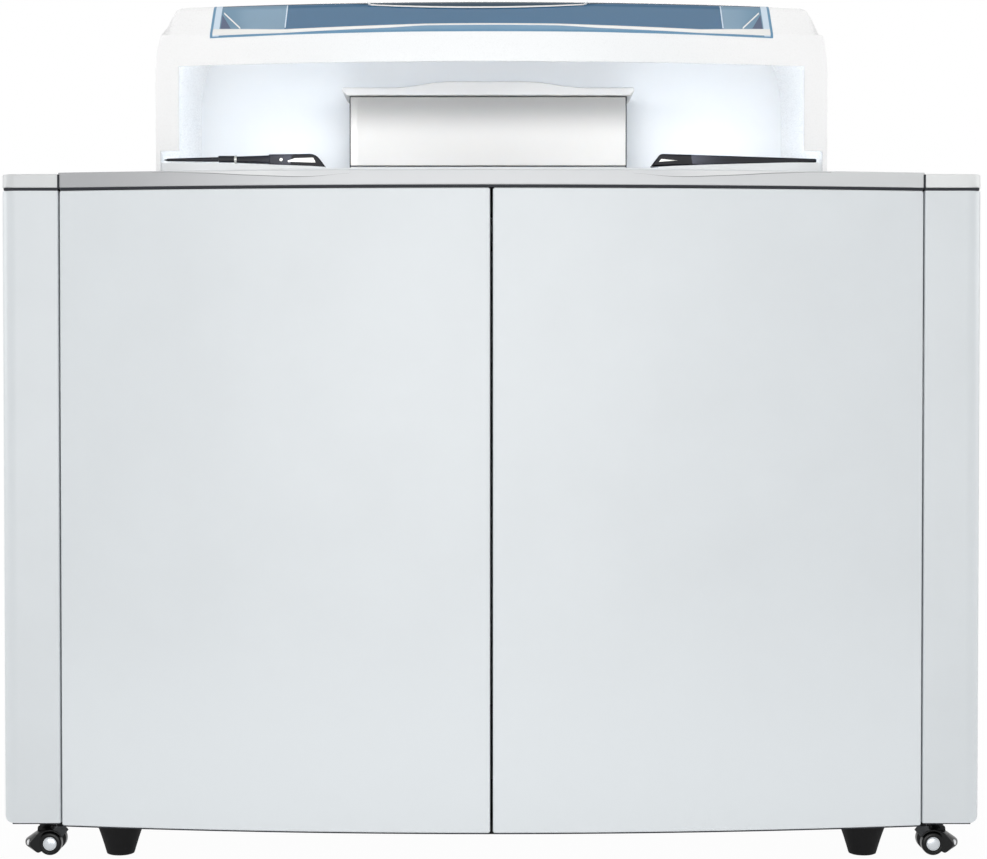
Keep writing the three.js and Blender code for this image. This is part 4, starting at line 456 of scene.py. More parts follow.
def piece(name, shape, body, look, nodes=(), wall=0, bevel=0):
    """Makes one piece: welded, faces out, given a wall inwards and a bevel, and riding on its body."""
    points, faces = shape
    mesh = bpy.data.meshes.new(name)
    corners = [[int(corner) for corner in face] for face in faces]
    mesh.from_pydata(np.asarray(points, float).tolist(), [], corners)
    work = bmesh.new()
    work.from_mesh(mesh)
    bmesh.ops.remove_doubles(work, verts=work.verts, dist=WELD)
    bmesh.ops.dissolve_degenerate(work, edges=work.edges, dist=WELD)
    bmesh.ops.recalc_face_normals(work, faces=work.faces)
    work.to_mesh(mesh)
    work.free()
    made = bpy.data.objects.new(name, mesh)
    bpy.context.scene.collection.objects.link(made)
    if wall:
        solid = made.modifiers.new("wall", "SOLIDIFY")
        solid.thickness, solid.offset, solid.use_even_offset = wall, -1, True
    if bevel:
        round_edge = made.modifiers.new("bevel", "BEVEL")
        round_edge.width, round_edge.segments = bevel, 3
        round_edge.limit_method, round_edge.angle_limit = "ANGLE", BEVEL_ANGLE
    if wall or bevel:
        finished = made.evaluated_get(bpy.context.evaluated_depsgraph_get())
        made.data = bpy.data.meshes.new_from_object(finished)
        made.modifiers.clear()
    made.data.shade_smooth()
    made.data.set_sharp_from_angle(angle=SHARP_ANGLE)
    made.modifiers.new("normals", "WEIGHTED_NORMAL").keep_sharp = True
    made.data.materials.append(LOOKS[look])
    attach(made, body)
    if nodes:
        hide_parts(*nodes)


# Doors: bowed pans, open behind

worktop_low, worktop_high = span("worktop")
BOW_HALF = 571 * MM
BOW_RADIUS = (BOW_HALF**2 + DOOR_BOW**2) / (2 * DOOR_BOW)
FRONT = worktop_low[1]


def bow(x):
    """How far the bowed front lies behind its middle at x: R - sqrt(R^2 - x^2)."""
    return BOW_RADIUS - np.sqrt(BOW_RADIUS**2 - np.asarray(x) ** 2)


def bowed(shape):
    """The shape with every point moved back by the bow at its x."""
    return shape[0] + np.stack([0 * shape[0][:, 0], bow(shape[0][:, 0]), 0 * shape[0][:, 0]], 1), shape[1]


def door_shape(low, high):
    """A pan: rounded front edges, square sides, a back rim, and a pocket as deep as the skin allows."""
    left, right, bottom, top = low[0], high[0], low[2], high[2]
    edge, corner = 2 * MM, 3 * MM
    rings = block_rings(left, right, bottom, top, corner, 0, DOOR_THICK, edge)
    inset, rise = rim(edge)
    mouth = zip(DOOR_RIM + (edge - inset[::-1]), DOOR_THICK - edge + rise[::-1])
    pocket = zip(DOOR_RIM + edge + edge - inset, DOOR_SKIN + edge - (edge - rise))
    for reach, depth in [*mouth, *pocket]:
        rings.append((left + reach, right - reach, bottom + reach, top - reach, 2 * corner, depth))
    return bowed(facing(tray(rings), "front", FRONT))


FOOT_SHADE_DROP = 3 * MM
FOOT_SHADE_TALL = 1.6 * MM


def foot_shade_strip(low, high):
    """A dark strip under a lower edge, painted shade where the edge's underside is: it starts a little
    inside the panel and hangs just below it.
    """
    bottom = low[2] - FOOT_SHADE_DROP
    return block([low[0], low[1], bottom - FOOT_SHADE_TALL], [high[0], high[1], bottom + CLEAR], 0.5 * MM,
                 FLAT_STEPS)


for name, _ in SIDES:
    low, high = span(f"{name}_door")
    panel = door_shape(low - [0, 0, FOOT_SHADE_DROP], high)
    piece(f"{name}_door_panel", panel, f"{name}_leaf", "door_paint", [f"{name}_door"])
    # Painted shade under the door's lower edge
    under_door = foot_shade_strip([low[0] + MM, FRONT + MM, low[2]],
                           [high[0] - MM, FRONT + DOOR_THICK - 3 * MM, low[2]])
    piece(f"{name}_door_foot_trim", bowed(under_door), f"{name}_leaf", "dark_seam_and_shade")


# Rubber pads on the frame behind the door seam, and a stop at the seam's foot, so that no light shows
base_low, base_high = span("base_frame")
frame_top = span("upper_frame")[1][2]
pads = [block([-14 * MM, base_low[1] - 2 * MM, foot], [14 * MM, base_low[1] + MM, top], 0.8 * MM)
        for foot, top in ((base_low[2] + 2 * MM, base_high[2] + 8 * MM), (frame_top - 38 * MM, frame_top))]
piece("door_seam_pad", merged(*pads), "cabinet", "rubber")
stop_tab = block(mm(-10, -379, 40), mm(10, -376, 60), MM)
stop_arm = block(mm(-8, -378, 57), [8 * MM, base_low[1] + MM, 60 * MM], MM)
piece("door_stop", merged(stop_tab, stop_arm), "cabinet", "rubber")


# Pillars: a folded skin, round at the outer corner and at its foot


def pillar_skin():
    """The plan line (return, front, outer corner, side) carried from its foot to its top.

    The foot rises by r - sqrt(r^2 - d^2) over the last r of the width, so the lower corner is round.
    """
    low, high = span("right_pillar")
    low = low - [0, 0, FOOT_SHADE_DROP]
    inner, outer, front, back = low[0], high[0], low[1], high[1]
    plan = eased([[inner, front + PILLAR_RETURN], [inner, front], [outer, front], [outer, back]],
                 [0, 3 * MM, PILLAR_CORNER, 0], 10, closed=False)
    past = np.clip(plan[:, 0] - (outer - PILLAR_FOOT_CORNER), 0, PILLAR_FOOT_CORNER)
    foot = low[2] + PILLAR_FOOT_CORNER - np.sqrt(PILLAR_FOOT_CORNER**2 - past**2)
    share = np.linspace(0, 1, FLAT_STEPS + 1)[:, None]
    z = foot + share * (high[2] - foot)
    xy = np.broadcast_to(plan, z.shape + (2,))
    return np.concatenate([xy, z[..., None]], 2).reshape(-1, 3), grid_cells(len(share), len(plan))


def pillar_rib():
    """The flat rib between the skin and the frame post behind it."""
    low, high = span("right_pillar")
    half, reach, centre = 1.5 * MM, PILLAR_CORNER, (low[0] + high[0]) / 2
    return block([centre - half, low[1] + 2 * MM, low[2] + reach],
                 [centre + half, low[1] + reach - CLEAR, high[2] - reach], 0.5 * MM)


for name, side in SIDES:
    piece(f"{name}_pillar_skin", sided(pillar_skin(), side), "cabinet", "pillar_paint", [f"{name}_pillar"],
          wall=PILLAR_SKIN, bevel=0.8 * MM)
    piece(f"{name}_pillar_rib", sided(pillar_rib(), side), "cabinet", "pillar_paint")
    low, high = span("right_pillar")
    # Painted shade under the pillar's lower edge
    under_pillar = foot_shade_strip([low[0] + MM, low[1] + 0.8 * MM, low[2]],
                             [high[0] - PILLAR_FOOT_CORNER, low[1] + PILLAR_RETURN, low[2]])
    piece(f"{name}_pillar_foot_trim", sided(under_pillar, side), "cabinet", "dark_seam_and_shade")
    tab = block([low[0] - MM, low[1] + 32 * MM, low[2] - 14 * MM],
                [low[0] + 11 * MM, low[1] + 35 * MM, base_low[2] + MM], 0.8 * MM)
    piece(f"{name}_seam_tab", sided(tab, side), "cabinet", "rubber")


# Worktop, its end caps and the deck plate


def hole(node, gap, sides):
    """A clockwise circle round a frame node, wider than it by gap."""
    low, high = span(node)
    return circle(middle(node)[:2], (high - low)[0] / 2 + gap, sides, clockwise=True)


TUBS = ["sample_tub", "reagent_tub", "cuvette_bath"]
TUB_FLANGE = 8 * MM
PORT_RADIUS = 5 * MM


def wells(tub_gap):
    """The holes for the tubs, the arms' columns and the needles."""
    tubs = [hole(tub, tub_gap, ROUND_SIDES) for tub in TUBS]
    columns = [hole(column, CLEAR, 24) for column in ("sample_arm_column", "reagent_arm_column")]
    ports = [circle(middle(needle)[:2], PORT_RADIUS, 16, clockwise=True)
             for needle in ("sample_needle", "reagent_needle")]
    return tubs + columns + ports


def bowed_outline(low, high, front, steps):
    """An outline with a bowed front, given along x, straight sides and a straight back."""
    x = np.linspace(low[0], high[0], steps + 1)
    return np.concatenate([np.stack([x, front(x)], 1), [[high[0], high[1]], [low[0], high[1]]]])


def worktop_shape():
    """The slab, with wells that leave the tubs a flange to rest on."""
    outline = bowed_outline(worktop_low, worktop_high, lambda x: FRONT + bow(x), 4 * FLAT_STEPS)
    return plate(outline, wells(CLEAR - TUB_FLANGE), worktop_low[2], worktop_high[2], 1.6 * MM)


def cap_shape():
    """The right end cap: square at the seam, round at the outer front corner."""
    low, high = span("worktop_right_cap")
    outline = eased([[low[0], high[1]], [low[0], low[1]], [high[0], low[1]], [high[0], high[1]]],
                    [MM, MM, PILLAR_CORNER, 2 * MM], 10)
    return plate(outline, [], low[2], high[2], 1.6 * MM)


HOOD_HALF, HOOD_REAR = span("hood_shell")[1][:2]
HOOD_RADIUS = (HOOD_HALF**2 + HOOD_BOW**2) / (2 * HOOD_BOW)


def hood_front(x, inset=0):
    """Front of the hood at x: the bow R - sqrt((R - inset)^2 - x^2) behind its foremost point."""
    return HOOD_FRONT + HOOD_RADIUS - np.sqrt((HOOD_RADIUS - inset) ** 2 - np.asarray(x) ** 2)


def deck_shape():
    """The deck plate, whose front follows the hood's bow inside its wall."""
    low, high = span("deck_plate")
    outline = bowed_outline(low, high, lambda x: hood_front(x, HOOD_WALL + 2 * MM), 2 * FLAT_STEPS)
    return plate(outline, wells(CLEAR), low[2], high[2], MM)


def under_shade_strip():
    """A dark bowed strip under the worktop's front edge, just clear of the doors' top edges: painted shade
    in the gap there.
    """
    low = [-BOW_HALF + 2 * MM, FRONT + 1.2 * MM, worktop_low[2] - 3.5 * MM]
    high = [BOW_HALF - 2 * MM, FRONT + 14 * MM, worktop_low[2] + CLEAR]
    return bowed(block(low, high, 0.4 * MM, 2 * FLAT_STEPS))


def end_shade_strips():
    """Dark strips: one under an end cap, painted shade in the gap there, and one upright as a dark line in
    the seam between the cap and the worktop's front edge.
    """
    low, high = span("worktop_right_cap")
    under = block([low[0], low[1] + 0.6 * MM, low[2] - 3.9 * MM],
                  [high[0] - 5 * MM, low[1] + 14 * MM, low[2]], 0.8 * MM)
    upright = block([low[0] - 2.2 * MM, low[1] - 0.6 * MM, low[2] - MM],
                    [low[0] + 0.9 * MM, low[1] + 4 * MM, high[2] - 0.6 * MM], 0.3 * MM)
    return merged(under, upright)


# The deck moulding's white edge, which sags over the grey apron on both sides, and a fine dark line along
# its foot, a painted shadow
EDGE_PLACES = mm(185, 205, 225, 245, 262, 290, 325, 365, 405, 430, 446)
EDGE_SAGS = mm(4.6, 6.4, 8.4, 8.9, 8.7, 7.3, 5.9, 3.2, 1.9, 0.9, 0.3)
EDGE_TOP = 1.2 * MM
EDGE_SHADOW_LINE = 0.9 * MM
EDGE_PROUD = 0.15 * MM
EDGE_FADE = 60 * MM
EDGE_THIN = 196 * MM


def along_rows(x, y, z):
    """Rows of points from a line in x and y and the rows' heights z."""
    points = np.stack([np.broadcast_to(x, z.shape), np.broadcast_to(y, z.shape), z], -1)
    return points.reshape(-1, 3), grid_cells(*z.shape)


def front_strip(x, low, high, rows=5):
    """A thin strip on the worktop's bowed front edge between two heights given along x."""
    t = np.linspace(0, 1, rows)[:, None]
    return along_rows(x, FRONT + bow(x) - EDGE_PROUD, low + (high - low) * t)


def deck_edges():
    """The white edge from the apron's top to its sagging foot, and the fine dark line along that foot, a
    painted shadow.
    """
    x = np.linspace(EDGE_PLACES[0], EDGE_PLACES[-1], 61)
    sag = np.pad(np.interp(x, EDGE_PLACES, EDGE_SAGS), 3, "edge")
    top = worktop_high[2] - EDGE_TOP
    foot = np.minimum(worktop_high[2] - np.convolve(sag, np.ones(7) / 7, "valid"), top - 0.1 * MM)
    start, end = (x - EDGE_THIN) / EDGE_FADE, (EDGE_PLACES[-1] - x) / EDGE_FADE
    thick = EDGE_SHADOW_LINE * np.clip(start, 0.15, 1) * np.clip(end, 0.5, 1)
    return front_strip(x, foot, np.full_like(x, top)), front_strip(x, foot - thick, foot, 3)


# The upstands at the front of the deck, below the two arms
UPSTAND_PLACES = mm(222, 240, 300, 400, 446.4)
UPSTAND_TOPS = mm(921.5, 923, 926, 930.5, 931.5)
UPSTAND_THICK = 3 * MM


def deck_upstand():
    """A thin wall that follows the hood's front just behind its jamb, with its top given along x."""
    x = np.linspace(UPSTAND_PLACES[0], UPSTAND_PLACES[-1], 49)
    top = np.interp(x, UPSTAND_PLACES, UPSTAND_TOPS)
    foot = span("deck_plate")[1][2] - CLEAR
    z = foot + (top - foot) * np.linspace(0, 1, 6)[:, None]
    return along_rows(x, hood_front(x, HOOD_WALL + 4 * MM), z)


piece("worktop_slab", worktop_shape(), "cabinet", "worktop_edge", ["worktop"])
for name, side in SIDES:
    piece(f"worktop_{name}_end", sided(cap_shape(), side), "cabinet", "cap_plastic",
          [f"worktop_{name}_cap"])
piece("deck_panel", deck_shape(), "cabinet", "deck_plastic", ["deck_plate"])
piece("worktop_under_seam", under_shade_strip(), "cabinet", "dark_seam_and_shade")
for name, side in SIDES:
    white, line = deck_edges()
    piece(f"deck_{name}_upstand", sided(deck_upstand(), side), "cabinet", "deck_plastic",
          wall=UPSTAND_THICK, bevel=0.8 * MM)
    piece(f"deck_{name}_edge", sided(white, side), "cabinet", "edge_white", wall=0.4 * MM)
    # Painted shadow line under the white edge
    piece(f"deck_{name}_edge_shadow_line", sided(line, side), "cabinet", "edge_shadow_line", wall=0.4 * MM)
    piece(f"worktop_{name}_seam", sided(end_shade_strips(), side), "cabinet", "dark_seam_and_shade")


# Hood: one moulded skin with an arch and a window opening, and the tinted window in it


def shoulder(x, top):
    """Highest point of the hood at x: level, then a quarter ellipse down to the side wall."""
    share = np.clip((np.abs(x) - (HOOD_HALF - SHOULDER_WIDTH)) / SHOULDER_WIDTH, 0, 1)
    return SHOULDER_LOW + (top - SHOULDER_LOW) * np.sqrt(1 - share**2)


def hood_rows():
    """Rows of the hood's section, up the face, round onto the sloped visor, and over the roof to its back.

    Each holds the run back from the front, the height, the share of the way to the window's back, and,
    behind the window, y.
    """
    low, high = span("hood_shell")
    face = np.concatenate([np.linspace(low[2], TIP_NOTCH_TOP, 5)[:-1],
                           np.linspace(TIP_NOTCH_TOP, RAIL_BOTTOM, 12)[:-1],
                           np.linspace(RAIL_BOTTOM, RAIL_TOP, 6)[:-1]])
    visor = eased([[0, RAIL_TOP - 4 * MM], [0, RAIL_TOP], [VISOR_RUN, ROOF_FRONT],
                   [VISOR_RUN + 60 * MM, ROOF_FRONT + 2.5 * MM]], mm(0, 1.5, 12, 0), 6, closed=False)[1:]
    slope = (ROOF_FRONT - RAIL_TOP) / VISOR_RUN
    visor = np.concatenate([visor, [[(WINDOW_LOW - RAIL_TOP) / slope, WINDOW_LOW]]])
    visor = visor[np.argsort(visor[:, 1])]
    roof = np.linspace(0, 1, 9)[1:]
    back = np.linspace(WINDOW_BACK, HOOD_REAR, 5)[1:]
    rows = [(0, z, 0, 0) for z in face] + [(run, z, 0, 0) for run, z in visor]
    rows += [(visor[-1, 0], ROOF_FRONT, share, 0) for share in roof]
    rows += [(0, high[2], 1, y) for y in back]
    return np.array(rows), high[2]


def hood_points(x, rows, top):
    """Surface points of the hood: y from the bow and the row's run, z from the row, under the shoulder."""
    run, height, share, behind = rows.T[:, :, None]
    front = hood_front(x)[None] + run
    y = np.where(behind > 0, behind, front + share * (WINDOW_BACK - front))
    roof_start = hood_front(0) + VISOR_RUN
    climb = ROOF_FRONT + (top - ROOF_FRONT) * np.clip((y - roof_start) / (HOOD_REAR - roof_start), 0, 1)
    z = np.where(share > 0, climb, height)
    z = np.minimum(z, shoulder(x, top)[None])
    return np.stack([np.broadcast_to(x, z.shape), y, z], -1)


def hood_shell_shape():
    """The skin over x and section rows, less the cells of the arch and the window, and flat side walls."""
    rows, top = hood_rows()
    turn = np.linspace(0, np.pi / 2, 13)
    flat = HOOD_HALF - SHOULDER_WIDTH
    right = np.concatenate([[HOOD_HALF - JAMB_WIDTH, WINDOW_HALF, TIP_NOTCH_HALF],
                            flat + SHOULDER_WIDTH * np.sin(turn)])
    x = np.unique(np.round(np.concatenate([np.linspace(-WINDOW_HALF, WINDOW_HALF, 49), right, -right]), 6))
    points = hood_points(x, rows, top)
    between = (x[1:] + x[:-1])[None] / 2
    centre_line = points[:, len(x) // 2]
    level, depth = ((centre_line[:-1] + centre_line[1:]) / 2).T[[2, 1], :, None]
    arch_half = np.where(level < TIP_NOTCH_TOP, TIP_NOTCH_HALF, HOOD_HALF - JAMB_WIDTH)
    arch = (np.abs(between) < arch_half) & (level < RAIL_BOTTOM)
    window = (np.abs(between) < WINDOW_HALF) & (level > WINDOW_LOW) & (depth < WINDOW_BACK)
    keep = ~(arch | window)
    cells = grid_cells(len(rows), len(x)).reshape(len(rows) - 1, len(x) - 1, 4)[keep]
    skin = points.reshape(-1, 3), cells
    walls = []
    for column in (0, -1):
        edge = points[:, column]
        foot = edge[-1] * np.array([1, 1, 0]) + np.array([0, 0, rows[0, 1]])
        walls.append((np.concatenate([edge, [foot]]), [list(range(len(edge) + 1))]))
    return merged(skin, *walls)


def window_shape():
    """The same surface inside the window opening, a clearance smaller all round."""
    rows, top = hood_rows()
    half = WINDOW_HALF - CLEAR
    x = np.linspace(-half, half, 97)
    points = hood_points(x, rows, top)
    centre_line = points[:, len(x) // 2]
    points = points[(centre_line[:, 2] > WINDOW_LOW - WELD) & (centre_line[:, 1] < WINDOW_BACK + WELD)]
    points[0, :, 2] += CLEAR
    points[-1, :, 1] -= CLEAR
    return points.reshape(-1, 3), grid_cells(len(points), len(x))


def visor_strip(x, low, high, proud=0.35 * MM, crown=0, rows=4):
    """A thin strip over the hood's face and visor between two heights given along x.

    It stands off along the section's normal by proud + crown sqrt(1 - (2t - 1)^2), t being the share of
    the way from low to high.
    """
    section = hood_rows()[0]
    section = section[(section[:, 2] == 0) & (section[:, 3] == 0)][:, :2]
    ahead = np.gradient(section, axis=0)
    normal = np.stack([-ahead[:, 1], ahead[:, 0]], 1) / np.linalg.norm(ahead, axis=1)[:, None]
    t = np.linspace(0, 1, rows)[:, None]
    x, low, high = np.broadcast_arrays(x, low, high)
    z = low + (high - low) * t
    run, out, up = (np.interp(z, section[:, 1], values) for values in (section[:, 0], *normal.T))
    rise = proud + crown * np.sqrt(1 - (2 * t - 1) ** 2)
    return along_rows(x, hood_front(x) + run + rise * out, z + rise * up)


# The visor's lower trim against distance from the middle: its foot, and the middle and half height of the
# painted highlight line above it
TRIM_PLACES = mm(0, 90, 140, 278, 320, 376)
TRIM_FOOT = mm(1098, 1098, 1097.8, 1096.5, 1095.6, 1094.8)
HIGHLIGHT_MIDDLE = mm(1108.7, 1108.2, 1106, 1101.6, 1102.4, 1103)
HIGHLIGHT_HALF = mm(1.15, 1.3, 2.3, 2.8, 3.8, 5.2)
BORDER_INNER, BORDER_OUTER, OUTLINE_OUTER = mm(364.5, 373, 376.5)
VISOR_TOP = 1145 * MM
BROW_MIDDLE, BROW_HALF, BROW_HIGHLIGHT_HALF = mm(-19, 175, 146)
CORNER_FOOT = 1108 * MM
WEDGE_INNER, WEDGE_OUTER, WEDGE_SLOPE = 349, 363, 1.6
GLINT_INNER, GLINT_OUTER, GLINT_HALF = 336, 361, 1.4 * MM
REFLECTION_LINE_HALF, REFLECTION_LINE_FOOT = mm(0.8, 1107)
TRIM_WALL = 0.8 * MM


def trim(values, x):
    """One of the trim's heights at x."""
    return np.interp(np.abs(x), TRIM_PLACES, values)


def brow_foot(x):
    """Lower edge of the dark brow: a parabola that dips in the middle and stays thin at the sides."""
    return VISOR_TOP - MM - 8 * MM * np.clip(1 - ((x - BROW_MIDDLE) / BROW_HALF) ** 2, 0, 1)


along = np.linspace(-BORDER_OUTER, BORDER_OUTER, 121)
lip = visor_strip(along, trim(TRIM_FOOT, along), trim(HIGHLIGHT_MIDDLE, along), 0.3 * MM, rows=8)
# A pale strip along the visor's lower edge: a painted highlight line
highlight_line = visor_strip(along, trim(HIGHLIGHT_MIDDLE - HIGHLIGHT_HALF, along), trim(HIGHLIGHT_MIDDLE + HIGHLIGHT_HALF, along),
                   0.35 * MM, 0.8 * MM, 9)
inside = np.linspace(-BORDER_INNER, BORDER_INNER, 121)
brow = visor_strip(inside, brow_foot(inside), VISOR_TOP, 0.3 * MM, rows=6)
# A thin pale line under the dark brow: a painted highlight
under = np.linspace(BROW_MIDDLE - BROW_HIGHLIGHT_HALF, BROW_MIDDLE + BROW_HIGHLIGHT_HALF, 65)
thin = 0.8 * MM * np.sqrt(np.clip(1 - ((under - BROW_MIDDLE) / BROW_HIGHLIGHT_HALF) ** 2, 0, 1))
under_brow = brow_foot(under) - MM
brow_highlight = visor_strip(under, under_brow - thin, under_brow + thin, 0.3 * MM, 0.5 * MM, 7)

piece("hood_skin", hood_shell_shape(), "hood", "hood_plastic", ["hood_shell"], HOOD_WALL, 1.2 * MM)
piece("hood_glazing", window_shape(), "hood", "window_tint", ["hood_window"], HOOD_WALL, 0.6 * MM)
piece("visor_lip", lip, "hood", "window_lip", wall=TRIM_WALL)
piece("visor_highlight_line", highlight_line, "hood", "window_highlight_line", wall=TRIM_WALL)
piece("visor_brow", brow, "hood", "window_brow", wall=TRIM_WALL)
piece("visor_brow_highlight", brow_highlight, "hood", "window_highlight_line", wall=TRIM_WALL)

border = visor_strip(np.linspace(BORDER_INNER, BORDER_OUTER, 5), TRIM_FOOT[-1] + 2 * MM, VISOR_TOP,
                     0.5 * MM, rows=24)
outline = visor_strip(np.linspace(BORDER_OUTER, OUTLINE_OUTER, 3), TRIM_FOOT[-1], VISOR_TOP,
                      0.45 * MM, rows=24)
corner = np.linspace(WEDGE_INNER, WEDGE_OUTER, 9) * MM
wedge = visor_strip(corner, CORNER_FOOT, CORNER_FOOT + WEDGE_SLOPE * (corner - corner[0]))
# A pale diagonal streak in each lower corner of the visor: a painted highlight
leaning = np.linspace(GLINT_INNER, GLINT_OUTER, 13) * MM
streak = CORNER_FOOT + (leaning - GLINT_INNER * MM)
glint = visor_strip(leaning, streak - GLINT_HALF, streak + GLINT_HALF, 0.35 * MM, 0.6 * MM, 7)
for (name, side), reflection_start in zip(SIDES, (REFLECTION_LEFT, REFLECTION_RIGHT)):
    # A thin light strip along each edge of the painted reflection: a painted highlight line
    across = reflection_start * MM + REFLECTION_LINE_HALF * np.array([-1, 0, 1])
    reflection_edge_line = visor_strip(across, REFLECTION_LINE_FOOT, VISOR_TOP - 2 * MM, 0.3 * MM, rows=12)
    piece(f"visor_{name}_border", sided(border, side), "hood", "window_border", wall=0.9 * MM)
    piece(f"visor_{name}_outline", sided(outline, side), "hood", "window_lip", wall=0.9 * MM)
    piece(f"visor_{name}_wedge", sided(wedge, side), "hood", "window_wedge", wall=TRIM_WALL)
    piece(f"visor_{name}_glint", sided(glint, side), "hood", "window_highlight_line", wall=TRIM_WALL)
    piece(f"visor_{name}_joint", reflection_edge_line, "hood", "window_border", wall=0.6 * MM)


# Rear console with its louvred back


def console_outline():
    """Anticlockwise in x and z: base, side walls, and the hood's shoulders cut off at the console's top."""
    low, high = span("rear_console")
    top = span("hood_shell")[1][2]
    limit = np.sqrt(1 - ((high[2] - SHOULDER_LOW) / (top - SHOULDER_LOW)) ** 2)
    angle = np.linspace(np.pi / 2, np.arcsin(limit), 12)
    x = HOOD_HALF - SHOULDER_WIDTH + SHOULDER_WIDTH * np.sin(angle)
    right = np.stack([x, shoulder(x, top)], 1)
    left = right[::-1] * np.array([-1, 1])
    return np.concatenate([[[low[0], low[2]], [high[0], low[2]]], right, left])


def console_shape():
    """The casing up to its back panel, and a thin back panel with through slots."""
    low, high = span("rear_console")
    back = 4 * MM
    outline = console_outline()
    tall, half = 8 * MM, 240 * MM
    slots = [stadium(-half, half, z, z + tall) for z in low[2] + 8 * MM + LOUVRE_PITCH * np.arange(1, 8)]
    casing = plate(outline, [], 0, high[1] - low[1] - back, 2 * MM)
    panel = plate(outline, slots, high[1] - low[1] - back, high[1] - low[1], MM, 2)
    return facing(merged(casing, panel), "front", low[1])


piece("console_casing", console_shape(), "cabinet", "console_paint", ["rear_console"])


# Grey wash station: a folded front in a dark reveal, on a pale plinth, under an overhanging lid

STATION_SHIFT = mm(-5, 0, 0)
STATION_FOOT = 958.6 * MM
STATION_GAP = 2 * MM
STATION_REVEAL = 1.6 * MM
LID_RAISE = 2 * MM
LID_EDGE = 13.5 * MM
LID_CORNICE = 5 * MM
CREST_FOOT, CREST_RUN = mm(145, 90)
station_low, station_high = span("wash_station_housing")


def station_block(foot, top, sides=STATION_REVEAL, front=0, rear=2 * MM, edge=MM, run_steps=FLAT_STEPS):
    """A block between two heights in the housing's place, drawn in from its sides, front and rear."""
    low = [station_low[0] + sides, station_low[1] + front, foot]
    high = [station_high[0] - sides, station_high[1] - rear, top]
    return moved(block(low, high, edge, run_steps), STATION_SHIFT)


def station_lid():
    """The lid's section in x and z, run from front to back: eased cornice ends and a half-cosine crest."""
    low, high = span("wash_station_lid")
    half, edge, foot = high[0] - MM, low[2] + LID_EDGE, low[2] + LID_RAISE
    neck, start = half - LID_CORNICE, half - 2 * LID_CORNICE
    share = np.linspace(0, 1, 13)
    crest_top = edge + (high[2] - edge) * (1 - np.cos(np.pi * share)) / 2
    crest = np.stack([CREST_FOOT - share * CREST_RUN, crest_top], 1)
    end = eased([[start, foot], [neck, foot], [neck, foot + LID_CORNICE / 2], [half, foot + LID_CORNICE],
                 [half, edge], [start, edge]], mm(0, 1, 1, 2, 2.5, 0), closed=False)
    right = np.concatenate([end, crest])
    outline = np.concatenate([right, right[::-1] * np.array([-1, 1])])
    lid = facing(plate(outline, [], 0, high[1] - low[1], 1.5 * MM), "front", low[1])
    return moved(lid, STATION_SHIFT)


housing = station_block(STATION_FOOT, station_high[2] + LID_RAISE - 1.5 * MM)
plinth = station_block(station_low[2], STATION_FOOT - STATION_GAP)
# The dark reveal shows as dark joints at the front's sides and foot; its top stands above the front's,
# where it shows as a painted shadow line under the lid
reveal = station_block(station_low[2], station_high[2] + LID_RAISE + CLEAR, 0, 4 * MM, 0, 0.5 * MM, 1)
# The front's paint darkens towards the lid as a painted shadow
piece("wash_station_front", housing, "cabinet", "station_paint", ["wash_station_housing"])
piece("wash_station_plinth", plinth, "cabinet", "plinth_paint")
piece("wash_station_reveal", reveal, "cabinet", "dark_seam_and_shade")
piece("wash_station_cover", station_lid(), "cabinet", "lid_plastic", ["wash_station_lid"])


# Probe arms


def arm_body(stations, tops, bottoms, widths):
    """Rounded sections at even steps along x, whose tops, bottoms and half widths are given at both ends.

    The first section draws in to a small share of its size, which rounds the tip.
    """
    x = np.linspace(*stations, 13)
    top, bottom, width = (np.interp(x, stations, values) for values in (tops, bottoms, widths))
    taper = np.where(x > x[0], 1, TIP_SHARE)
    centres = np.stack([x, 0 * x, ARM_BASE + (top + bottom) / 2], 1)
    return lofted(centres, width * taper, (top - bottom) / 2 * taper)


def put_arm(shape, side):
    """An arm modelled with its pivot at 0 and its tip towards -x, moved to its column."""
    centre = middle("sample_arm_column" if side < 0 else "reagent_arm_column")
    return moved(shape if side < 0 else mirrored(shape), (centre[0], centre[1], 0))


ARM_BASE = span("sample_probe_arm")[0][2]
ARM_TIP = 191
ARM_HALF = 8.6 * MM
TIP_SHARE = np.sqrt(0.02)

# The sample arm's rod, collar and tube in mm: their ends along x, then tops, bottoms and half widths there
SAMPLE_SECTIONS = [([-195, -121], [11.2, 13.4], [7.6, 7], [2.2, 3.6]),
                   ([-122, -99], [15, 15], [6, 6], [5.2, 5.2]),
                   ([-99.5, -51], [14, 15.6], [5.6, 3.8], [5.4, 7.4])]
SAMPLE_BLOCK = mm([-52, 3.4], [-52, 16.6], [12, 17.3], [25, 0], [-25, 0.3])
REAGENT_BLADE = mm([-ARM_TIP, 6], [-ARM_TIP, 10.9], [-140, 12.5], [-15, 16.2], [21.5, 17.3], [34.5, 0],
                   [-15, 1.4], [-140, 4.6])


def sample_arm_shape():
    """Rod, collar, tube and block, each with its own section, as one black arm."""
    sections = [arm_body(*mm(*section)) for section in SAMPLE_SECTIONS]
    return merged(*sections, arm_plate(eased(SAMPLE_BLOCK, mm(1, 1.5, 9, 1.5, 3))))


def arm_plate(outline, depth=2 * ARM_HALF, proud=0, edge=2 * MM):
    """A clockwise side outline run across the arm from its front, its width tapering towards the tip."""
    points, faces = facing(plate(outline[::-1], [], 0, depth, edge), "front", -ARM_HALF - proud)
    points[:, 1] *= np.interp(points[:, 0], mm(-ARM_TIP, -55, -10), [0.3, 0.85, 1])
    return moved((points, faces), (0, 0, ARM_BASE))


def inlay(*corners):
    """A thin bright plate let into the front of an arm, with its clockwise corners in x and z in mm."""
    return arm_plate(eased(mm(*corners), 0.8 * MM), 1.5 * MM, 0.25 * MM, 0.2 * MM)


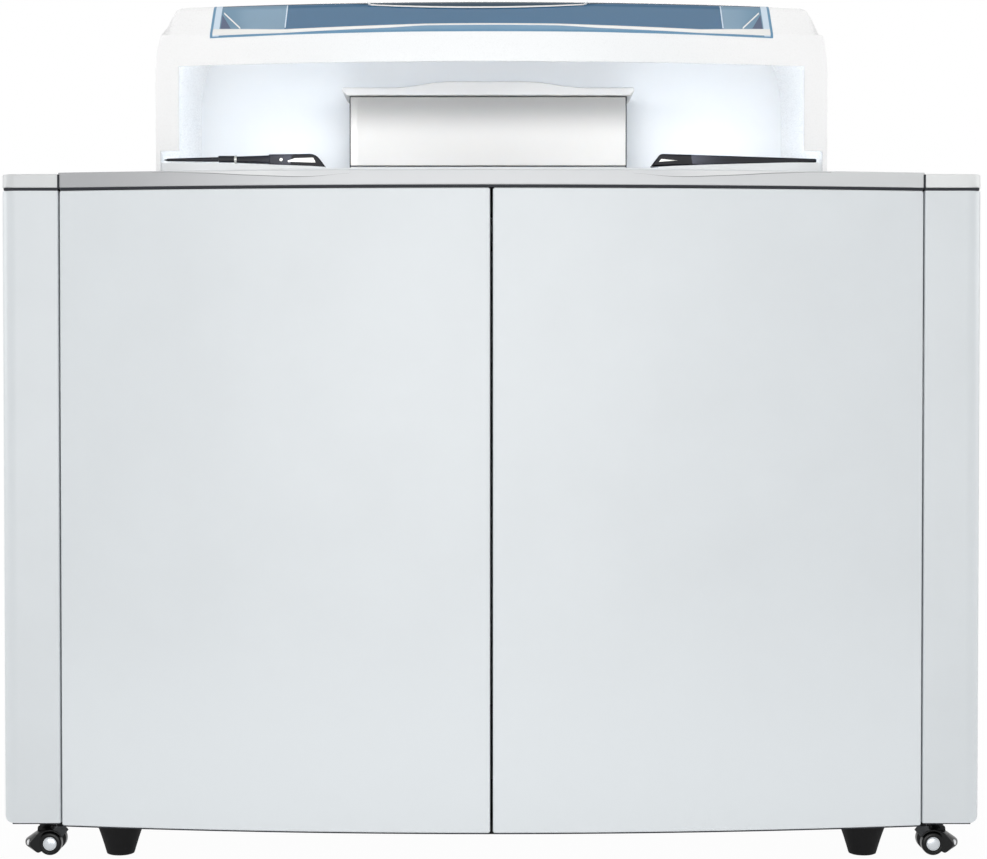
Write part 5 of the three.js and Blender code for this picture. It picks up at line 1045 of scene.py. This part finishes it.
reagent_arm = arm_plate(eased(REAGENT_BLADE, mm(2, 2, 9, 9, 4, 1, 9, 9)))
piece("sample_arm_body", put_arm(sample_arm_shape(), -1), "sample_arm", "arm_plastic", ["sample_probe_arm"])
piece("reagent_arm_body", put_arm(reagent_arm, 1), "reagent_arm", "arm_plastic", ["reagent_probe_arm"])
ring = turned(disc_profile(*mm(5.6, 0, 3.6, 0.6)), (-99 * MM, 0, ARM_BASE + 10 * MM), "x")
piece("sample_arm_ring", put_arm(ring, -1), "sample_arm", "arm_inlay")
screw = turned(disc_profile(*mm(2, -9.4, -8, 0.4)), (-35 * MM, 0, ARM_BASE + 9.2 * MM), "y")
piece("sample_arm_screw", put_arm(screw, -1), "sample_arm", "arm_inlay")
sample_inlay = inlay([-26, 6.3], [-26, 7.8], [-16, 11.2], [8.5, 12], [12, 5.2])
piece("sample_arm_inlay", put_arm(sample_inlay, -1), "sample_arm", "arm_inlay")
reagent_inlay = inlay([-2, 8], [20, 10.2], [23.5, 6.2])
piece("reagent_arm_inlay", put_arm(reagent_inlay, 1), "reagent_arm", "arm_inlay")


# Feet and castors

CORNERS = [f"{end}_{name}" for end in ("front", "rear") for name, _ in SIDES]


def foot_shape(low, high):
    """A rubber block turned about its stud.

    At share t of its height its radius is sole + (top - sole)(0.86 t + 0.14 t^3), a soft curve.
    """
    centre = (low + high) / 2
    tall, sole, top, stud = mm(46, 19, 33, 6)
    t = np.linspace(0, 1, 15)
    radius = sole + (top - sole) * (0.86 * t + 0.14 * t**3)
    side = np.stack([radius, 3 * MM + (tall - 5 * MM) * t], 1)
    profile = np.concatenate([[[0, 0], [sole - 3 * MM, 0], [sole - 0.8 * MM, 0.9 * MM]], side,
                              [[top - MM, tall], [stud, tall], [stud, high[2]], [0, high[2]]]])
    return turned(profile, (centre[0], centre[1], 0))


WHEEL_INNER = 8 * MM
CASTOR_TRAIL = 8 * MM
COVER_AIR = 1.2 * MM
COVER_WALL = 2.2 * MM
COVER_HALF = 24 * MM
COVER_SWEEP = 30 * MM
NOSE_REACH = 29 * MM


def castor_place(corner):
    """Centre, radius and half width of a corner's twin wheel, and the side that it stands on."""
    low, high = span(f"{corner}_castor_wheel")
    centre = (low + high) / 2
    return centre, (high - low)[2] / 2, (high - low)[1] / 2, np.sign(centre[0])


def on_stem(shape, corner):
    """A shape modelled about the stem, with the wheel towards -x, put in its corner."""
    centre, _, _, side = castor_place(corner)
    return moved(sided(shape, side), centre + np.array([side * CASTOR_TRAIL, 0, -centre[2]]))


def both_faces(profile, centre):
    """A profile of (radius, distance) turned about the axle, and its mirror image on the other face."""
    profile = np.array(profile, float)
    return merged(turned(profile, centre, "y"), turned(profile * np.array([1, -1]), centre, "y"))


def tyre_shape(corner):
    """Two tyres on one axle: each a tread with full round shoulders and a dished outer face."""
    centre, radius, half, _ = castor_place(corner)
    dish = half - 1.4 * MM
    tyre = eased([[0, WHEEL_INNER], [radius - 5 * MM, WHEEL_INNER], [radius, WHEEL_INNER + MM],
                  [radius, half - MM], [radius - 4.5 * MM, half], [radius - 6 * MM, dish], [0, dish]],
                 mm(0, 1, 2.5, 3, 1, 1, 0), closed=False)
    axle = turned(disc_profile(2.9 * MM, -WHEEL_INNER - MM, WHEEL_INNER + MM, 0), centre, "y")
    return merged(both_faces(tyre, centre), axle)


def hub_shape(corner):
    """A polished dome on each outer face, with a thin step around it.

    The dome's radius goes with sin a and its rise with cos a, for a from 0 to 90 degrees.
    """
    centre, radius, half, _ = castor_place(corner)
    rim_radius, step, rise = radius - 6.6 * MM, 0.9 * MM, 1.3 * MM
    dome = np.linspace(0, np.pi / 2, 9)
    crown = np.stack([(rim_radius - step) * np.sin(dome), half - rise + rise * np.cos(dome)], 1)
    profile = np.concatenate([crown, [[rim_radius, half - rise], [rim_radius, half - 3 * MM],
                                      [0, half - 3 * MM]]])
    return both_faces(profile, centre)


def castor_stem(corner):
    """The web between the tyres, round over the axle, the domed neck over it and the stem in the frame."""
    top = span(f"{corner}_castor_fork")[1][2]
    outline = eased(mm([-10.5, 20], [-9, 9], [0, 4.8], [14, 4.8], [20, 11], [19, 24], [8, 37], [-10, 37]),
                    mm(4, 4, 5, 5, 5, 6, 3, 3))
    half, stem = 7 * MM, 6 * MM
    web = facing(plate(outline * np.array([-1, 1]), [], 0, 2 * half, 1.5 * MM), "front", -half)
    dome = mm([0, 33.6], [8.6, 33.6], [10.8, 40], [10.8, 55.6], [6, 55.6])
    neck = turned(eased([*dome, [stem, top], [0, top]], mm(0, 1, 3, 0.5, 0, 1, 0), closed=False))
    return on_stem(merged(web, neck), corner)


def castor_cover(corner):
    """An arc band over the tyres that runs out into a nose ahead of the stem.

    The outline lies in x and z; across the tyres it draws in towards the stem by
    1 - sqrt(1 - (y / sweep)^2), so the nose is round in plan too.
    """
    centre, radius, _, _ = castor_place(corner)
    inner, outer = radius + COVER_AIR, radius + COVER_AIR + COVER_WALL
    crown = np.radians(np.linspace(150, 60, 15))
    back = np.radians(np.linspace(-38, 150, 25))
    hub = np.array([-CASTOR_TRAIL, centre[2]])
    band = hub + outer * np.stack([np.cos(crown), np.sin(crown)], 1)
    under = hub + inner * np.stack([np.cos(back), np.sin(back)], 1)
    nose = [[12 * MM, 31 * MM], [NOSE_REACH, 19 * MM], [NOSE_REACH, 12.5 * MM], [13 * MM, 3.6 * MM]]
    nose = eased([band[-1], *nose, under[0]], mm(0, 7, 3, 3, 6, 0), 6, closed=False)
    outline = np.concatenate([band, nose[1:-1], under])[::-1]
    points, faces = facing(plate(outline, [], 0, 2 * COVER_HALF, 0.9 * MM, rows=17), "front", -COVER_HALF)
    draw = np.sqrt(1 - (points[:, 1] / COVER_SWEEP) ** 2)
    points[:, 0] = np.where(points[:, 0] > 0, points[:, 0] * draw, points[:, 0])
    return on_stem((points, faces), corner)


NOSE_HIGHLIGHT_HALF = mm(3.4, 3, 4.2)
NOSE_HIGHLIGHT_PLACE = mm(20.5, -18.4, 17.5)


def nose_highlight(corner):
    """A painted highlight on each side of the nose: a pale ellipsoid sunk into its curved face."""
    turn = np.linspace(-np.pi / 2, np.pi / 2, 9)
    points, faces = turned(np.stack([np.cos(turn), np.sin(turn)], 1), sides=16)
    front = points * NOSE_HIGHLIGHT_HALF + NOSE_HIGHLIGHT_PLACE
    return on_stem(merged((front, faces), (front * np.array([1, -1, 1]), faces)), corner)


for corner in CORNERS:
    wheel, swivel = f"{corner}_wheel", f"{corner}_swivel"
    piece(f"{corner}_castor_highlight", nose_highlight(corner), swivel, "highlight_white")
    piece(f"{corner}_foot_pad", foot_shape(*span(f"{corner}_foot")), f"{corner}_pad", "rubber",
          [f"{corner}_foot"])
    piece(f"{corner}_castor_tyres", tyre_shape(corner), wheel, "gloss_black", [f"{corner}_castor_wheel"])
    piece(f"{corner}_castor_hubs", hub_shape(corner), wheel, "steel_bright")
    piece(f"{corner}_castor_neck", castor_stem(corner), swivel, "gloss_black", [f"{corner}_castor_fork"])
    piece(f"{corner}_castor_nose", castor_cover(corner), swivel, "gloss_black")


# Small fittings: screws, the fan guard, and what the two disks carry


def soft_profile(points, radii):
    """An open profile for turning, with eased corners, from millimetres."""
    return eased(points, radii, 2, closed=False) * MM


SCREW_HEAD = soft_profile([[0, 0.1], [1.6, 0.1], [1.9, 0.7], [3.1, 0.6], [4.2, -0.1], [4.2, -0.9],
                           [0, -0.9]], [0, 0.2, 0.2, 0.8, 0.3, 0, 0])


def screw_head(x, z, side, place):
    """A low domed head with a dimple, proud of a face by its dome's height."""
    points, faces = turned(SCREW_HEAD, sides=20)
    return facing((points * np.array([1, 1, -1]) + np.array([x, z, 0]), faces), side, place)


SIDE_FACE, REAR_FACE, CONSOLE_BACK = mm(650, 397, 396)
on_rear = [(x, z) for x in (-632, -316, 0, 316, 632) for z in (68, 872)] + [(x, 470) for x in (-632, 632)]
on_side = [(y, z) for y in (-244, 70, 380) for z in (68, 872)] + [(y, 470) for y in (-244, 380)]
on_console = [(x, z) for x in (-434, 434) for z in (930, 1044)]
rear_screws = [screw_head(x * MM, z * MM, "back", place)
               for places, place in ((on_rear, REAR_FACE), (on_console, CONSOLE_BACK)) for x, z in places]
piece("rear_screws", merged(*rear_screws), "cabinet", "steel_bright")
right_screws = merged(*[screw_head(y * MM, z * MM, "right", SIDE_FACE) for y, z in on_side])
piece("side_screws", merged(right_screws, mirrored(right_screws)), "cabinet", "steel_bright")


# A thin lip over each louvre: seven in the lower part of both sides, and seven higher up in the rear
LIP_PROUD, LIP_SUNK, LIP_TALL, LIP_DROP, LIP_PAST = mm(1.1, 0.4, 2.4, 0.2, 2)
SIDE_LOUVRES, REAR_LOUVRES = mm(80, 320), mm(280, 520)
REAR_LOUVRE_RISE = 416 * MM
louvre_tops = 158 * MM + LOUVRE_PITCH * np.arange(7)
side_lips = merged(*[block([SIDE_FACE - LIP_SUNK, SIDE_LOUVRES[0] - LIP_PAST, z - LIP_DROP],
                           [SIDE_FACE + LIP_PROUD, SIDE_LOUVRES[1] + LIP_PAST, z + LIP_TALL], 0.7 * MM)
                     for z in louvre_tops])
rear_lips = merged(*[block([REAR_LOUVRES[0] - LIP_PAST, REAR_FACE - LIP_SUNK, z - LIP_DROP],
                           [REAR_LOUVRES[1] + LIP_PAST, REAR_FACE + LIP_PROUD, z + LIP_TALL], 0.7 * MM)
                     for z in louvre_tops + REAR_LOUVRE_RISE])
piece("side_louvre_lips", merged(side_lips, mirrored(side_lips)), "cabinet", "panel_paint")
piece("rear_louvre_lips", rear_lips, "cabinet", "panel_paint")


GUARD_WIRE = 1.1 * MM
GUARD_RINGS = mm(12, 24, 36, 48, 60)
GUARD_ANGLES = np.radians([45, 135, 225, 315])
SPOKE_ENDS = mm(10, 66)
GUARD_SCREWS = 67 * MM
guard_x, _, guard_z = middle("fan_frame")
guard_centre = np.array([guard_x, REAR_FACE + GUARD_WIRE, guard_z])


def wire_ring(radius):
    """A round wire bent to a ring about the y axis: a small circle turned about it."""
    section = circle((radius, 0), GUARD_WIRE, 10)
    return turned(np.concatenate([section, section[:1]]), guard_centre, "y", 64)


def wire_spoke(angle):
    """A straight round wire along x, turned by the angle from x towards z onto a radius of the guard."""
    points, faces = turned(disc_profile(GUARD_WIRE, *SPOKE_ENDS, 0), axis="x", sides=10)
    x, y, z = points.T
    spoke = [x * np.cos(angle) - z * np.sin(angle), y, x * np.sin(angle) + z * np.cos(angle)]
    return np.stack(spoke, 1) + guard_centre, faces


rings = [wire_ring(radius) for radius in GUARD_RINGS]
spokes = [wire_spoke(angle) for angle in GUARD_ANGLES]
feet = [screw_head(guard_x + GUARD_SCREWS * np.cos(angle), guard_z + GUARD_SCREWS * np.sin(angle), "back",
                   REAR_FACE + MM) for angle in GUARD_ANGLES]
piece("fan_guard", merged(*rings, *spokes), "cabinet", "steel_dark")
piece("fan_guard_screws", merged(*feet), "cabinet", "steel_bright")


DISK_TOP = 910 * MM
CUP = soft_profile([[0, -13.5], [5.2, -13.5], [6.6, -11], [6.8, 1], [8.6, 1], [8.6, 2.2], [5.8, 2.2],
                    [5.6, -10.5], [4.4, -12.3], [0, -12.3]], [0, 1.5, 2, 0.3, 0.5, 0.4, 0.4, 1.5, 1, 0])
STOPPER = soft_profile([[0, 1.2], [5.4, 1.2], [5.4, 2.4], [8.2, 2.4], [8.2, 5.6], [0, 5.2]],
                       [0, 0.2, 0.2, 0.4, 1, 0])
BOTTLE_CAP = soft_profile([[0, 1.5], [8.8, 1.5], [8.8, 6], [7.6, 6.6], [0, 6.4]], [0, 0.3, 0.8, 0.8, 0])
SAMPLE_RINGS = (18, 107 * MM), (9, 80 * MM)
REAGENT_RING = 12, 93 * MM


def on_disk(profile, node, count, radius, sides=20):
    """A profile turned at even places on a circle about a disk's axis."""
    places = circle(middle(node)[:2], radius, count)
    return merged(*[turned(profile, (*place, DISK_TOP), sides=sides) for place in places])


cups = merged(*[on_disk(CUP, "sample_disk", *ring) for ring in SAMPLE_RINGS])
piece("sample_cups", cups, "sample_rotor", "cup_clear")
piece("sample_stoppers", on_disk(STOPPER, "sample_disk", *SAMPLE_RINGS[0]), "sample_rotor", "cap_blue")
piece("reagent_caps", on_disk(BOTTLE_CAP, "reagent_disk", *REAGENT_RING, 24), "reagent_rotor", "cap_blue")


# Carried-over frame nodes take a fitting finish

CARRIED = {
    "steel_zinc": ["base_frame", "upper_frame", "floor_pan", *TUBS],
    "panel_paint": ["left_side_panel", "right_side_panel", "rear_panel"],
    "needle_white": ["sample_needle", "reagent_needle"],
    "steel_bright": ["sample_arm_column", "reagent_arm_column",
                     *(f"hood_hinge_{name}_{half}" for half in ("base", "leaf") for name, _ in SIDES)],
    "steel_dark": [f"{name}_door_{end}_pivot" for name, _ in SIDES for end in ("upper", "lower")],
    "disk_plastic": ["sample_disk", "reagent_disk", "cuvette_carousel"],
    "tank_plastic": ["water_tank", "waste_tank"],
    "service_paint": ["power_supply", "pump_unit"],
    "gloss_black": ["fan_frame", "fan_rotor", "power_inlet", "main_switch"],
    "rubber": ["door_catch"],
}
for look, names in CARRIED.items():
    for name in names:
        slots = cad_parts[name].data.materials
        slots.clear()
        slots.append(LOOKS[look])


# Camera, floor and light

PHOTO_WIDTH = 987
FOCAL_PIXELS = 2200
CENTRE_COLUMN = 491.5
CAMERA_DISTANCE = 3.263
CAMERA_HEIGHT = 0.636
CAMERA_PITCH = np.radians(1.25)

scene = bpy.context.scene
camera_data = bpy.data.cameras.new("camera")
camera_data.sensor_width = 36
camera_data.lens = FOCAL_PIXELS * camera_data.sensor_width / PHOTO_WIDTH
camera_data.shift_x = (PHOTO_WIDTH / 2 - CENTRE_COLUMN) / PHOTO_WIDTH
camera = bpy.data.objects.new("camera", camera_data)
camera.location = (0, -CAMERA_DISTANCE, CAMERA_HEIGHT)
camera.rotation_euler = (np.pi / 2 - CAMERA_PITCH, 0, 0)
scene.collection.objects.link(camera)
scene.camera = camera

FLOOR_HALF = 12
FLOOR_LINES = 9
FLOOR_LIFT_NEAR = 0.97
FLOOR_LIFT_FROM, FLOOR_LIFT_TO = 0.8, 2.6
WORLD_STRENGTH = 0.34


def floor_shape():
    """A flat square grid far wider than the object."""
    line = np.linspace(-FLOOR_HALF, FLOOR_HALF, FLOOR_LINES)
    x, y = np.meshgrid(line, line)
    return np.stack([x, y, 0 * x], -1).reshape(-1, 3), grid_cells(FLOOR_LINES, FLOOR_LINES)


def seen_by_camera(tree):
    """1 for the rays that show the plain background, 0 for those that light the object."""
    rays = tree.nodes.new("ShaderNodeLightPath")
    total = rays.outputs["Is Camera Ray"]
    for kind in ("Is Glossy Ray", "Is Transmission Ray"):
        either = node(tree, "ShaderNodeMath", {0: total, 1: rays.outputs[kind]}, operation="MAXIMUM")
        total = either.outputs[0]
    return total


def floor_material():
    """A pale matt floor, lifted to white for the camera: in part near the object, fully far from it."""
    material = bpy.data.materials.new("floor_white")
    material.use_nodes = True
    tree = material.node_tree
    tree.nodes.clear()
    place = tree.nodes.new("ShaderNodeTexCoord").outputs["Object"]
    away = node(tree, "ShaderNodeVectorMath", {0: place}, operation="LENGTH").outputs["Value"]
    share = ranged(tree, away, FLOOR_LIFT_NEAR, 1, FLOOR_LIFT_FROM, FLOOR_LIFT_TO)
    lift = node(tree, "ShaderNodeMath", {0: share, 1: seen_by_camera(tree)}, operation="MULTIPLY")
    matt = node(tree, "ShaderNodeBsdfDiffuse", {"Color": (0.9, 0.9, 0.9, 1)})
    glow = node(tree, "ShaderNodeEmission", {"Color": (1, 1, 1, 1), "Strength": 1.0})
    blend = node(tree, "ShaderNodeMixShader", {0: lift.outputs[0], 1: matt.outputs[0], 2: glow.outputs[0]})
    node(tree, "ShaderNodeOutputMaterial", {"Surface": blend.outputs[0]})
    return material


floor_mesh = bpy.data.meshes.new("floor")
floor_points, floor_faces = floor_shape()
floor_mesh.from_pydata(floor_points.tolist(), [], floor_faces.tolist())
floor_mesh.materials.append(floor_material())
floor = bpy.data.objects.new("floor", floor_mesh)
scene.collection.objects.link(floor)

world = bpy.data.worlds.new("studio")
scene.world = world
world.use_nodes = True
sky = world.node_tree
background = sky.nodes["Background"]
background.inputs["Color"].default_value = (1, 1, 1, 1)
strength = ranged(sky, seen_by_camera(sky), WORLD_STRENGTH, 1.0, 0, 1)
sky.links.new(strength, background.inputs["Strength"])


def lamp(name, place, target, width, height, level):
    """A soft lamp of a given size; level is what a white surface that faces it at the target shows.

    The power follows from level = power / (4 pi distance^2). The lamp itself isn't seen.
    """
    away = Vector(target) - Vector(place)
    data = bpy.data.lights.new(name, "AREA")
    data.shape, data.size, data.size_y = "RECTANGLE", width, height
    data.energy = level * 4 * np.pi * away.length_squared
    made = bpy.data.objects.new(name, data)
    made.location = place
    made.rotation_euler = away.to_track_quat("-Z", "Y").to_euler()
    made.visible_camera = made.visible_transmission = False
    made.visible_glossy = away.length > 1
    scene.collection.objects.link(made)


# Place, target, width, height and level of each lamp
LAMPS = {
    "front_lamp": ((-0.25, -5.6, 0.9), (0, -0.4, 0.75), 3.2, 1.5, 0.31),
    "left_lamp": ((-5, 0.2, 1.6), (0, 0, 0.6), 2.4, 2.0, 0.19),
    "right_lamp": ((5, 0.2, 1.6), (0, 0, 0.6), 2.4, 2.0, 0.18),
    "back_lamp": ((0.8, 5.4, 1.6), (0, 0.4, 0.7), 3.0, 2.0, 0.3),
    "top_lamp": ((0, -0.4, 4.6), (0, 0, 0.9), 2.6, 2.6, 0.24),
    "hood_lamp": ((0, -1.7, 1.5), (0, -0.35, 1.08), 2.6, 0.3, 0.055),
    "canopy_lamp": ((0, -0.27, 1.115), (0, 0.15, 1.06), 0.84, 0.03, 0.46),
}
for name, side in SIDES:
    LAMPS[f"{name}_cheek_lamp"] = (0.2 * side, -0.08, 1.0), (0.45 * side, -0.08, 1.0), 0.4, 0.12, 0.12
    LAMPS[f"{name}_deck_lamp"] = (0.22 * side, -0.235, 0.94), (0.45 * side, 0.05, 0.98), 0.2, 0.02, 0.125
for name, values in LAMPS.items():
    lamp(name, *values)

scene.view_settings.view_transform = "Standard"
